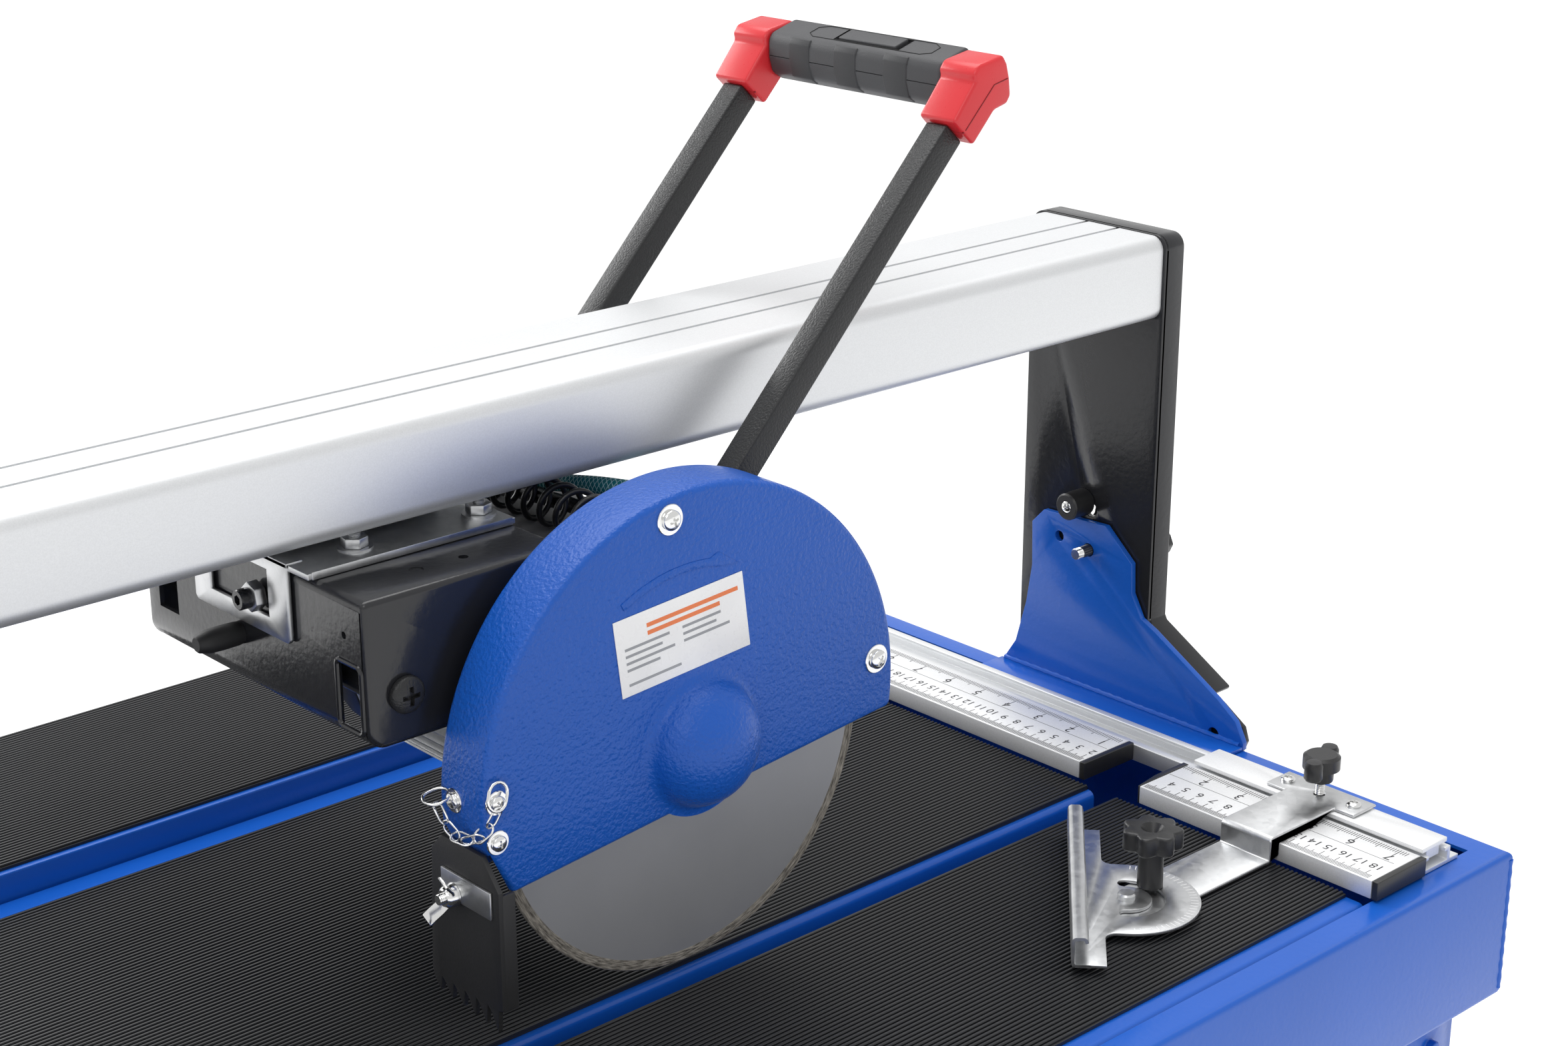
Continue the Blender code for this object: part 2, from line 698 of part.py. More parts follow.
def make_head_arm():
    """The plunge arm: a hub on the pivot pin and a plate with a saddle over the motor."""
    px, pz = PIVOT
    low, high = pz - 0.0012, pz + 0.0048
    hub = arc(PIVOT, 0.0100, degrees(asin((high - pz) / 0.0100)), 360 - degrees(asin((pz - low) / 0.0100)), 14)
    seat = arc(SPINDLE, MOTOR_R + GAP, 118, 62, 8)
    outline = hub + [(seat[0][0] - 0.004, low), (seat[0][0] - 0.004, seat[0][1])]
    outline += seat + [(seat[-1][0] + 0.004, seat[-1][1]), (seat[-1][0] + 0.004, high)]
    arm = prism("head_arm", outline, "y", ARM_Y[0], ARM_Y[1], "head", BLACK_PAINT)
    bore(arm, PIVOT_R + GAP, ARM_Y[0] - 0.01, ARM_Y[1] + 0.01, PIVOT, "y", "head", 20)


def make_motor():
    """Closed motor housing with the rotor in its bore, a rear cap and a terminal box."""
    y0, y1 = MOTOR_Y
    housing = [
        (0.0106, y0),
        (MOTOR_R - 0.004, y0),
        (MOTOR_R, y0 + 0.004),
        (MOTOR_R, y1),
        (0, y1),
        (0, y1 - 0.007),
        (0.040, y1 - 0.007),
        (0.040, y0 + 0.009),
        (0.0106, y0 + 0.009),
    ]
    mesh = turned_mesh("motor_housing", housing, SPINDLE, "y", 32, closed=True)
    add("motor_housing", mesh, "head", ALUMINIUM, smooth=True)
    cap = [
        (0, y1 + GAP),
        (MOTOR_R - 0.001, y1 + GAP),
        (MOTOR_R - 0.001, y1 + 0.022),
        (MOTOR_R - 0.008, y1 + 0.030),
        (0, y1 + 0.030),
    ]
    turned("motor_cap", cap, SPINDLE, "y", "head", PLASTIC, 28)
    base = PIVOT[1] + 0.0048 + GAP
    block("terminal_box", (0.172, 0.240), (0.062, 0.168), (base, base + 0.024), "head", GREY)


def make_spindle():
    rotor = [
        (0, -0.022),
        (0.0098, -0.022),
        (0.0098, -0.0072),
        (0.0123, -0.0072),
        (0.0123, 0.0016),
        (0.030, 0.0016),
        (0.030, 0.0075),
        (0.0100, 0.0090),
        (0.0100, 0.040),
        (0.036, 0.045),
        (0.036, 0.165),
        (0.008, 0.168),
        (0.008, 0.185),
        (0, 0.185),
    ]
    turned("rotor", rotor, SPINDLE, "y", "spindle", STEEL, 28)
    half = BLADE_T / 2
    ring("blade", BLADE_BORE, BLADE_R, -half, half, SPINDLE, "y", "spindle", STEEL, 64)
    flange = ring("arbor_nut", 0.0126, 0.030, -0.0078, -half - GAP, SPINDLE, "y", "spindle", ZINC, 28)
    join(flange, ring("join_nut", 0.0117, 0.0165, -0.0180, -0.0075, SPINDLE, "y", "spindle", ZINC, 6))


def guard_outline(inset, drop):
    """The guard's side view: round top, a straight heel at the left, and a slanted lower edge."""
    r = GUARD_R - inset
    right = degrees(asin((GUARD_RIGHT_Z - GUARD_C[1]) / GUARD_R))
    points = arc(GUARD_C, r, right, 185, 30)
    heel = (GUARD_HEEL[0] + inset, GUARD_HEEL[1])
    if drop:
        return points + [heel, (heel[0], heel[1] - drop), (points[0][0], points[0][1] - drop)]
    return points + [heel]


def boss_profile(radius, height, base):
    """A shallow dome that stands out from the guard's face, with a short root inside it."""
    ball = (radius**2 + height**2) / (2 * height)
    sweep = asin(radius / ball)
    steps = 7
    dome = []
    for k in range(steps + 1):
        a = sweep * k / steps
        dome.append((ball * sin(a), base - height + ball * (1 - cos(a))))
    return dome + [(radius, base + 0.0012), (0, base + 0.0012)]


def make_guard():
    y0, y1 = GUARD_Y
    guard = prism("blade_guard", guard_outline(0, 0), "y", y0, y1, "head", BLUE, smooth=True)
    boss = turned("join_boss", boss_profile(BOSS_R, BOSS_H, y0), GUARD_C, "y", "head", BLUE, 28)
    w = GUARD_WALL
    inside = prism("cut_guard_inside", guard_outline(w, 0.03), "y", y0 + w, y1 - w, "head", BLUE)
    hollow = boss_profile(BOSS_R - w, BOSS_H - w, y0 + 0.0008)
    hollow = turned("cut_boss_inside", hollow[:-2] + [(BOSS_R - w, y0 + 0.01), (0, y0 + 0.01)], GUARD_C, "y", "head", BLUE, 28)
    join(guard, boss)
    cut(guard, inside, hollow)
    bore(guard, 0.033, y1 - 0.01, y1 + 0.01, SPINDLE, "y", "head", 24)


def make_flap():
    """The rubber splash flap behind the guard's heel, held by a wing nut."""
    x, y = FLAP_X, FLAP_Y
    outline = [
        (x[0], y[0]),
        (x[1] + 0.0105, y[0]),
        (x[1] + 0.0105, y[0] + 0.003),
        (x[1], y[0] + 0.003),
        (x[1], y[1]),
        (x[0], y[1]),
    ]
    prism("splash_flap", outline, "z", FLAP_Z[0], FLAP_Z[1], "flap", RUBBER)
    centre = (0.004, TABLE_H + 0.087)
    hub = [(0, x[0] - 0.010), (0.0035, x[0] - 0.010), (0.0055, x[0] - GAP), (0, x[0] - GAP)]
    nut = turned("wing_nut", hub, centre, "x", "wing_nut", ZINC, 12)
    wing = [
        (centre[0] - 0.016, centre[1] - 0.004),
        (centre[0] + 0.016, centre[1] - 0.004),
        (centre[0] + 0.018, centre[1] + 0.005),
        (centre[0] + 0.009, centre[1] + 0.004),
        (centre[0] - 0.009, centre[1] + 0.004),
        (centre[0] - 0.018, centre[1] + 0.005),
    ]
    join(nut, prism("join_wing", wing, "x", x[0] - 0.0075, x[0] - 0.0050, "wing_nut", ZINC))


def make_handle():
    foot = (TUBE_FOOT_Z - GRIP[1]) / sin(LEAN)
    for name, y in (("front", FRONT_TUBE_Y), ("rear", REAR_TUBE_Y)):
        low, high = along_arm(foot, 0), along_arm(-0.0312, 0)
        start, end = (low[0], y, low[1]), (high[0], y, high[1])
        bar("handle_tube_" + name, start, end, TUBE, TUBE, "head", BLACK_PAINT)
    corner = [
        (-0.0308, -0.0108),
        (-0.0308, 0.0096),
        (-0.0085, 0.0096),
        (-0.0005, 0.0149),
        (0.0043, 0.0138),
        (0.0101, 0.0067),
        (0.0141, 0.0),
        (0.0154, -0.0056),
        (0.0006, -0.0165),
        (-0.0051, -0.0161),
        (-0.0071, -0.0125),
    ]
    outline = [along_arm(u, v) for u, v in corner]
    prism("handle_corner_front", outline, "y", 0.0175, GRIP_Y[0] - GAP, "head", RED)
    prism("handle_corner_rear", outline, "y", GRIP_Y[1] + GAP, 0.2025, "head", RED)
    section = [
        on_grip(0.0190, 0),
        on_grip(0, 0),
        (GRIP[0] - 0.0130, GRIP[1] + 0.0065),
        (GRIP[0] - 0.0130, GRIP[1] - 0.0030),
        (GRIP[0] - 0.0105, GRIP[1] - 0.0115),
        (GRIP[0] - 0.0035, GRIP[1] - 0.0160),
        (GRIP[0] + 0.0070, GRIP[1] - 0.0155),
        (GRIP[0] + 0.0130, GRIP[1] - 0.0105),
        (GRIP[0] + 0.0150, GRIP[1] - 0.0010),
        (GRIP[0] + 0.0130, GRIP[1] + 0.0095),
    ]
    grip = prism("grip", section, "y", GRIP_Y[0], GRIP_Y[1], "head", RUBBER)
    make_lever(grip)


def make_lever(grip):
    """The switch lever in its pocket on top of the grip; it rocks about its front end."""
    pocket = [on_grip(s, h) for s, h in ((0.0038, 0.004), (0.0160, 0.004), (0.0160, -0.0075), (0.0038, -0.0075))]
    cut(grip, prism("cut_pocket", pocket, "y", LEVER_Y[0] - 0.001, LEVER_Y[1] + 0.001, "head", PLASTIC))
    bar_outline = [on_grip(s, h) for s, h in ((0.0045, 0.0012), (0.0150, 0.0012), (0.0150, -0.0035), (0.0045, -0.0035))]
    prism("switch_lever", bar_outline, "y", LEVER_Y[0], LEVER_Y[1], "lever", PLASTIC)


def make_gauge():
    """Slider in the end rail, bent plated bridge over the ruler, protractor with its fence."""
    top = RULER_TOP + 0.0005
    y = GAUGE_Y
    slider = block("gauge_slider", SLIDER_X, (-0.188, -0.031), (top, top + 0.0025), "gauge", ALUMINIUM)
    key_x = (SLIDER_X[0] + 0.0055, SLIDER_X[1] - 0.0055)
    key = block("join_key", key_x, (-0.187, -0.032), (top - 0.006, top + 0.001), "gauge", ALUMINIUM)
    join(slider, key)
    high = top + 0.0025 + GAP
    over = high + 0.002
    x0 = RULER_X
    bridge = prism(
        "gauge_bridge",
        [
            (x0 + 0.070, high),
            (x0 + 0.070, over),
            (x0 - 0.006, over),
            (x0 - 0.008, over - 0.002),
            (x0 - 0.008, TABLE_H + 0.0030),
            (GAUGE_PIN[0] - 0.017, TABLE_H + 0.0030),
            (GAUGE_PIN[0] - 0.017, TABLE_H + 0.0010),
            (x0 - 0.0072, TABLE_H + 0.0010),
            (x0 - 0.0060, TABLE_H + 0.0022),
            (x0 - 0.0060, high),
        ],
        "y",
        y - 0.017,
        y + 0.017,
        "gauge",
        ZINC,
    )
    wing = block("join_wings", (x0 + 0.049, x0 + 0.070), (y - 0.030, y + 0.030), (high, over), "gauge", ZINC)
    join(bridge, wing)
    bore(bridge, 0.0032, high - 0.01, over + 0.01, (0.576, y), "z", "gauge")
    bore(bridge, 0.0036, TABLE_H - 0.01, TABLE_H + 0.01, GAUGE_PIN, "z", "gauge")
    stem = [(0, high - 0.0022), (0.0029, high - 0.0022), (0.0029, over + 0.008), (0.0085, over + 0.009)]
    stem += [(0.0095, over + 0.016), (0.006, over + 0.024), (0, over + 0.024)]
    thumb = turned("thumb_knob", stem, (0.576, y), "z", "thumb_knob", PLASTIC, 16)
    lobes = [(0.576 + u, y + v) for u, v in ((-0.018, -0.004), (0.018, -0.006), (0.018, 0.005), (-0.018, 0.004))]
    join(thumb, prism("join_lobes", lobes, "z", over + 0.0115, over + 0.0205, "thumb_knob", PLASTIC))
    cut(slider, disc("cut_slider_hole", 0.0034, top - 0.02, top + 0.01, (0.576, y), "z", "gauge", ZINC, 12))
    make_protractor()


def turn(points, angle, centre):
    c, s = cos(angle), sin(angle)
    return [(centre[0] + u * c - v * s, centre[1] + u * s + v * c) for u, v in points]


def make_protractor():
    """A half-round plate whose straight side is bent up into the fence, and its clamp knob."""
    low = TABLE_H + 0.0030 + GAP
    plate = [(0.039 * cos(radians(a)), 0.039 * sin(radians(a))) for a in range(-180, 1, 12)]
    plate += [(0.039, 0.012), (0.080, 0.012), (0.080, 0.0300), (-0.074, 0.0300), (-0.074, 0.012), (-0.039, 0.012)]
    outline = turn(plate, FENCE_ANGLE, GAUGE_PIN)
    protractor = prism("protractor", outline, "z", low, low + 0.002, "protractor", ZINC)
    fence = [(-0.074, 0.0275), (0.080, 0.0275), (0.080, 0.0300), (-0.074, 0.0300)]
    fold = [(-0.074, 0.0220), (0.080, 0.0220), (0.080, 0.0290), (-0.074, 0.0290)]
    wall = prism("join_fence", turn(fence, FENCE_ANGLE, GAUGE_PIN), "z", low + 0.0005, TABLE_H + 0.0200, "protractor", ZINC)
    top = TABLE_H + 0.0200
    folded = prism("join_fold", turn(fold, FENCE_ANGLE, GAUGE_PIN), "z", top - 0.0022, top - 0.0002, "protractor", ZINC)
    join(protractor, wall, folded)
    pin = disc("join_pin", 0.0033, TABLE_H + 0.0012, low + 0.006, GAUGE_PIN, "z", "protractor", ZINC, 12)
    join(protractor, pin)
    centre = (GAUGE_PIN[0] + 0.020, GAUGE_PIN[1] + 0.001)
    base = low + 0.002 + GAP
    stem = [(0, base), (0.0068, base), (0.0068, base + 0.026), (0, base + 0.026)]
    knob = turned("gauge_knob", stem, centre, "z", "gauge_knob", PLASTIC, 16)
    star = prism("join_gauge_star", lobed(centre, 0.0135, 0.0165, 7, 5), "z", base + 0.022, base + 0.034, "gauge_knob", PLASTIC)
    join(knob, star)


def make_legs(side, sign):
    """A hanger under the tub and a U-shaped leg frame that folds inward under the table."""
    half = LEG / 2
    ear = 0.003
    hang_x = (sign * LEG_X - 0.022, sign * LEG_X + 0.022)
    top = TUB_BOTTOM - GAP
    hanger = block("leg_hanger_" + side, hang_x, (LEG_Y[0] - 0.025, LEG_Y[1] + 0.025), (top - 0.003, top), "frame", BLUE)
    for n, y in enumerate(LEG_Y):
        for m, out in enumerate((-1, 1)):
            face = y + out * (half + GAP)
            ears = sorted((face, face + out * ear))
            plate = block("join_ear_%s_%d%d" % (side, n, m), hang_x, ears, (LEG_Z - 0.018, top - 0.001), "frame", BLUE)
            join(hanger, plate)
    for n, y in enumerate(LEG_Y):
        centre = (sign * LEG_X, LEG_Z)
        pin = disc("join_pin_%s_%d" % (side, n), 0.0050, y - half - 0.008, y + half + 0.008, centre, "y", "frame", BLUE, 12)
        join(hanger, pin)
    length = LEG_Z - 0.012
    foot_x = sign * (LEG_X + length * sin(LEG_SPLAY) / cos(LEG_SPLAY))
    frame = None
    hollows = []
    for n, y in enumerate(LEG_Y):
        body = "legs_" + side
        along = Vector((foot_x - sign * LEG_X, 0, 0.012 - LEG_Z)).normalized()
        start = Vector((sign * LEG_X, y, LEG_Z)) - along * 0.014
        post = bar("leg_frame_" + side if frame is None else "join_leg_" + side, start, (foot_x, y, 0.012), LEG, LEG, body, BLUE)
        frame = frame or post
        if post is not frame:
            join(frame, post)
        hollow = start + along * 0.060
        inside = bar("cut_leg_%s_%d" % (side, n), hollow, (foot_x, y, 0.0), LEG - 0.005, LEG - 0.005, body, BLUE)
        hollows.append(inside)
    for n, share in enumerate((0.28, 0.86)):
        x = sign * LEG_X + (foot_x - sign * LEG_X) * share
        z = LEG_Z + (0.012 - LEG_Z) * share
        rung = block("join_rung_%s_%d" % (side, n), (x - 0.004, x + 0.004), LEG_Y, (z - 0.014, z + 0.014), body, BLUE)
        join(frame, rung)
    cut(frame, *hollows)
    for n, y in enumerate(LEG_Y):
        bore(frame, 0.0053, y - 0.03, y + 0.03, (sign * LEG_X, LEG_Z), "y", body, 12)
    for name, y in zip(("front", "rear"), LEG_Y):
        pad = [(-0.020, -0.020), (0.020, -0.020), (0.020, 0.020), (-0.020, 0.020)]
        pad = [(foot_x + u, y + v) for u, v in pad]
        prism("foot_%s_%s" % (side, name), pad, "z", 0.0, 0.010, body, RUBBER)


def make_drain_plug():
    profile = [
        (0, TUB_FRONT - 0.012),
        (0.013, TUB_FRONT - 0.012),
        (0.015, TUB_FRONT - 0.009),
        (0.015, TUB_FRONT - GAP),
        (0.0105, TUB_FRONT - GAP),
        (0.0105, TUB_FRONT + 0.008),
        (0, TUB_FRONT + 0.008),
    ]
    turned("drain_plug", profile, DRAIN, "y", "drain_plug", PLASTIC, 20)


def make_cord():
    """The curly switch cord, as its outer shape."""
    z = BEAM_Z[0] - 0.0195
    disc("curly_cord", 0.0125, 0.046, 0.150, (0.194, z), "y", "head", PLASTIC, 16)


def main():
    clear_scene()
    make_bodies()
    make_tub()
    make_plate("front", FRONT_PLATE, FRONT_MAT)
    make_plate("rear", REAR_PLATE, REAR_MAT)
    make_side_table()
    make_rulers()
    make_end_rail()
    make_beam()
    for side, sign in (("right", 1), ("left", -1)):
        make_bracket(side, sign)
        make_pivot_bolt(side, sign)
        make_upright(side, sign)
        make_stop(side, sign)
        make_lock_knob(side, sign)
        make_legs(side, sign)
    make_carriage()
    make_box()
    make_head_arm()
    make_motor()
    make_spindle()
    make_guard()
    make_flap()
    make_handle()
    make_gauge()
    make_drain_plug()
    make_cord()


main()
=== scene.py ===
from math import asin, atan2, cos, degrees, hypot, pi, radians, sin

import bmesh
import bpy
from mathutils import Matrix, Vector


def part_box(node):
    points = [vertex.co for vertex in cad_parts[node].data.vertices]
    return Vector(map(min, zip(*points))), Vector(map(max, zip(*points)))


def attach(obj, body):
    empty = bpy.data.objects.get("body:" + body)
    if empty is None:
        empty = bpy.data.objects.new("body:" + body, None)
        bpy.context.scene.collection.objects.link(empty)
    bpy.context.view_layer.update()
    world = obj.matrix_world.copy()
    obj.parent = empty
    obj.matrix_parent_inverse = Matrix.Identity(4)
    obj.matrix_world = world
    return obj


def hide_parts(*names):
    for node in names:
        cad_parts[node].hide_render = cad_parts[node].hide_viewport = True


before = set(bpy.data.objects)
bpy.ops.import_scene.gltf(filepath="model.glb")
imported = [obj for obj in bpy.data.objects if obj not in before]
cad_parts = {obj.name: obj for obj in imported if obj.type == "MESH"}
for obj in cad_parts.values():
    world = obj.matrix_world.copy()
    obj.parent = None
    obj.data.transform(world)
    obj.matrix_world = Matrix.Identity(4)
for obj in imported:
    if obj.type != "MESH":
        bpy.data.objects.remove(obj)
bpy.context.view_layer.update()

# Pieces are laid out with Y = 0 on the cut line; BACK moves them to the frame's own origin.
BACK = 0.1245
TABLE = 0.672
GAP = 0.0003


# ---------------------------------------------------------------- camera, light, floor


LENS_MM, SENSOR_MM = 60.49, 36.0
LENS_SHIFT = (-0.0005, 0.0004)
CAMERA_PLACE = (-0.551, -0.8982 - BACK, 1.3212)
CAMERA_TURN = (radians(70.60), 0, radians(-42.47))
SKY_STRENGTH = 0.76
OVERHEAD_POWER, OVERHEAD_SPREAD, OVERHEAD_WAY = 1.9, radians(55), (-0.10, -0.34, -1.0)


def make_camera():
    data = bpy.data.cameras.new("camera")
    data.lens, data.sensor_width = LENS_MM, SENSOR_MM
    data.shift_x, data.shift_y = LENS_SHIFT
    data.clip_start, data.clip_end = 0.05, 50
    camera = bpy.data.objects.new("camera", data)
    camera.location = CAMERA_PLACE
    camera.rotation_euler = CAMERA_TURN
    bpy.context.scene.collection.objects.link(camera)
    bpy.context.scene.camera = camera


def softbox(name, place, target, size, power):
    data = bpy.data.lights.new(name, "AREA")
    data.shape, data.size, data.size_y, data.energy = "RECTANGLE", size[0], size[1], power
    lamp = bpy.data.objects.new(name, data)
    lamp.location = place
    lamp.rotation_euler = (Vector(target) - Vector(place)).to_track_quat("-Z", "Y").to_euler()
    bpy.context.scene.collection.objects.link(lamp)


def make_studio():
    world = bpy.data.worlds.new("studio")
    world.use_nodes = True
    sky = world.node_tree.nodes["Background"]
    sky.inputs["Color"].default_value = (1.0, 1.0, 1.0, 1.0)
    sky.inputs["Strength"].default_value = SKY_STRENGTH
    bpy.context.scene.world = world
    bpy.context.scene.view_settings.view_transform = "Standard"
    data = bpy.data.lights.new("overhead light", "SUN")
    data.energy, data.angle = OVERHEAD_POWER, OVERHEAD_SPREAD
    lamp = bpy.data.objects.new("overhead light", data)
    lamp.rotation_euler = Vector(OVERHEAD_WAY).to_track_quat("-Z", "Y").to_euler()
    bpy.context.scene.collection.objects.link(lamp)
    softbox("key light", (-1.3, -1.1, 2.6), (0.1, 0.0, 0.75), (1.2, 1.2), 8)
    softbox("back light", (-0.2, 2.4, 1.95), (-0.2, 0.0, 0.70), (1.7, 0.9), 26)


# ---------------------------------------------------------------- shader maths and finishes


class Value:
    """A socket that adds Math nodes when it is used in an expression."""

    def __init__(self, finish, socket):
        self.finish, self.socket = finish, socket

    def math(self, operation, *others):
        return self.finish.node("Math", {"operation": operation}, dict(enumerate(others)))

    def __add__(self, other):
        return self.math("ADD", self, other)

    def __sub__(self, other):
        return self.math("SUBTRACT", self, other)

    def __rsub__(self, other):
        return self.math("SUBTRACT", other, self)

    def __mul__(self, other):
        return self.math("MULTIPLY", self, other)

    def __pow__(self, other):
        return self.math("POWER", self, other)

    def above(self, other):
        return self.math("GREATER_THAN", self, other)

    __radd__, __rmul__ = __add__, __mul__


class Finish:
    """A material: one Principled shader and what feeds it."""

    def __init__(self, name, colour, roughness, metallic=0.0, **fixed):
        self.material = bpy.data.materials.new(name)
        self.material.use_nodes = True
        self.tree = self.material.node_tree
        self.shader = self.tree.nodes["Principled BSDF"]
        self.put(self.shader.inputs["Base Color"], colour)
        self.put(self.shader.inputs["Roughness"], roughness)
        self.put(self.shader.inputs["Metallic"], metallic)
        for name, value in fixed.items():
            self.put(self.shader.inputs[name.replace("_", " ")], value)

    def put(self, socket, value):
        if isinstance(value, Value):
            self.tree.links.new(value.socket, socket)
        elif isinstance(value, (tuple, list)) and socket.type == "RGBA":
            socket.default_value = (*value[:3], 1.0)
        else:
            socket.default_value = value

    def node(self, kind, settings=None, inputs=None, output=0):
        made = self.tree.nodes.new("ShaderNode" + kind)
        for key, value in (settings or {}).items():
            if key == "stops":
                while len(made.color_ramp.elements) < len(value):
                    made.color_ramp.elements.new(0.5)
                for element, (place, colour) in zip(made.color_ramp.elements, value):
                    element.position, element.color = place, (*colour, 1.0)
            else:
                setattr(made, key, value)
        for key, value in (inputs or {}).items():
            self.put(made.inputs[key], value)
        return Value(self, made.outputs[output])

    def math_of(self, operation, *values):
        return self.node("Math", {"operation": operation}, dict(enumerate(values)))

    def radius_and_turn(self):
        """Distance from the blade's axis, and the height and run that give the angle about it."""
        x, y, z = self.axes()
        dx, dz = x - SPINDLE[0], z - SPINDLE[1]
        return (dx * dx + dz * dz) ** 0.5, dx, y, dz

    def places(self):
        return self.node("TexCoord", {}, {}, "Object")

    def noise(self, scale, detail=3.0, stretch=None, rough=0.5):
        where = self.places()
        if stretch:
            where = self.node("Mapping", {}, {"Vector": where, "Scale": stretch})
        return self.node(
            "TexNoise", {}, {"Vector": where, "Scale": scale, "Detail": detail, "Roughness": rough},
            "Fac",
        )

    def cells(self, scale, output="Color"):
        return self.node("TexVoronoi", {}, {"Vector": self.places(), "Scale": scale}, output)

    def blend(self, factor, one, two):
        return self.node("Mix", {"data_type": "RGBA"}, {0: factor, 6: one, 7: two}, 2)

    def axes(self):
        split = self.node("SeparateXYZ", {}, {0: self.places()})
        outputs = split.socket.node.outputs
        return [Value(self, outputs[k]) for k in range(3)]

    def relief(self, height, depth, strength=1.0):
        bump = self.node("Bump", {}, {"Height": height, "Distance": depth, "Strength": strength})
        self.put(self.shader.inputs["Normal"], bump)
        return self

    def colour(self, value):
        self.put(self.shader.inputs["Base Color"], value)
        return self

    def roughness(self, value):
        self.put(self.shader.inputs["Roughness"], value)
        return self


def shade(colour, factor):
    return tuple(min(1.0, c * factor) for c in colour)


def paint(name, colour, roughness, peel, depth, coat=0.0):
    """Powder coat: an orange peel of fine pits over a slow drift in tone."""
    made = Finish(
        name, colour, roughness, 0.0, Coat_Weight=coat, Coat_Roughness=0.12, Specular_IOR_Level=0.34
    )
    drift = made.noise(7.0, 2.0)
    made.colour(made.blend(drift, shade(colour, 0.90), shade(colour, 1.12)))
    fine = made.noise(peel, 2.0)
    made.roughness(fine * 0.10 + (roughness - 0.05))
    return made.relief(fine, depth)


def metal(name, colour, roughness, spread, stretch=None, scale=60.0, depth=0.00002, metallic=1.0):
    """Metal with fine streaks in tone, sheen and height."""
    made = Finish(name, colour, roughness, metallic)
    streak = made.noise(scale, 4.0, stretch)
    made.colour(made.blend(streak, shade(colour, 0.88), shade(colour, 1.08)))
    made.roughness(streak * spread + (roughness - spread / 2))
    return made.relief(streak, depth)


def zinc_finish():
    """Zinc plate: a pale mottle of spangles, a little brighter and duller from one to the next."""
    made = Finish("zinc plate", (0.66, 0.67, 0.67), 0.32, 1.0)
    spangle = made.node("RGBToBW", {}, {0: made.cells(260.0)})
    cloud = made.noise(90.0, 6.0, None, 0.65)
    made.colour(made.blend(cloud * 0.7 + spangle * 0.3, (0.50, 0.51, 0.52), (0.80, 0.805, 0.81)))
    made.roughness(spangle * 0.06 + cloud * 0.12 + 0.26)
    return made.relief(made.noise(500.0, 1.0), 0.000003)


def moulded(name, colour, roughness, grain=900.0, depth=0.00006):
    """Moulded rubber or plastic: a fine grain and a slow drift in tone."""
    made = Finish(name, colour, roughness)
    fine = made.noise(grain, 2.0)
    drift = made.noise(20.0, 2.0)
    made.colour(made.blend(drift, shade(colour, 0.85), shade(colour, 1.2)))
    made.roughness(fine * 0.12 + (roughness - 0.06))
    return made.relief(fine, depth)


def rubber_mat_finish():
    """Mat rubber with a faint dust drawn out along the ribs."""
    made = Finish("ribbed rubber", (0.012, 0.0122, 0.0135), 0.42)
    dust = made.noise(35.0, 6.0, (0.25, 1.0, 1.0), 0.7)
    made.colour(made.blend(dust, (0.010, 0.0106, 0.0125), (0.016, 0.0168, 0.0195)))
    made.roughness(dust * 0.12 + 0.32)
    return made.relief(made.noise(500.0, 1.0), 0.000008)


def blade_finish():
    """Satin steel with faint turning marks round the blade's centre."""
    made = Finish("blade steel", (0.38, 0.385, 0.40), 0.40, 0.5)
    radius = made.radius_and_turn()[0]
    rings = made.node(
        "TexNoise", {"noise_dimensions": "1D"}, {"W": radius, "Scale": 900.0, "Detail": 3.0}, "Fac"
    )
    cloud = made.noise(22.0, 4.0)
    made.colour(made.blend(cloud, (0.35, 0.355, 0.375), (0.42, 0.425, 0.445)))
    made.roughness(rings * 0.12 + 0.34)
    return made.relief(rings, 0.000006)


def grit_finish():
    """The blade's rim: hard grains in a dull bond, worn in short strokes along the rim."""
    made = Finish("diamond rim", (0.30, 0.28, 0.24), 0.70, 0.3)
    radius, dx, y, dz = made.radius_and_turn()
    turn = made.math_of("ARCTAN2", dz, dx)
    along = made.node("CombineXYZ", {}, {0: radius * 1500.0, 1: turn * 22.0, 2: y * 300.0})
    stroke = made.node("TexNoise", {}, {"Vector": along, "Scale": 1.0, "Detail": 4.0}, "Fac")
    made.colour(made.blend((stroke - 0.5) * 2.2 + 0.45, (0.055, 0.048, 0.040), (0.42, 0.39, 0.34)))
    return made.relief(stroke + made.noise(1500.0, 3.0) * 0.5, 0.00030)


KNURL_WAVES = 4200.0


def knurl_finish():
    """Grip rubber with a grid of small raised squares, 1.5 mm apart."""
    made = Finish("knurled rubber", (0.034, 0.035, 0.038), 0.55)
    x, y, z = made.axes()
    rows = made.math_of("SINE", z * KNURL_WAVES)
    columns = made.math_of("SINE", y * KNURL_WAVES)
    return made.relief(rows.above(-0.35) * columns.above(-0.35), 0.0005)


BRAID_TURNS, BRAID_STRANDS = 70.0, 6.0


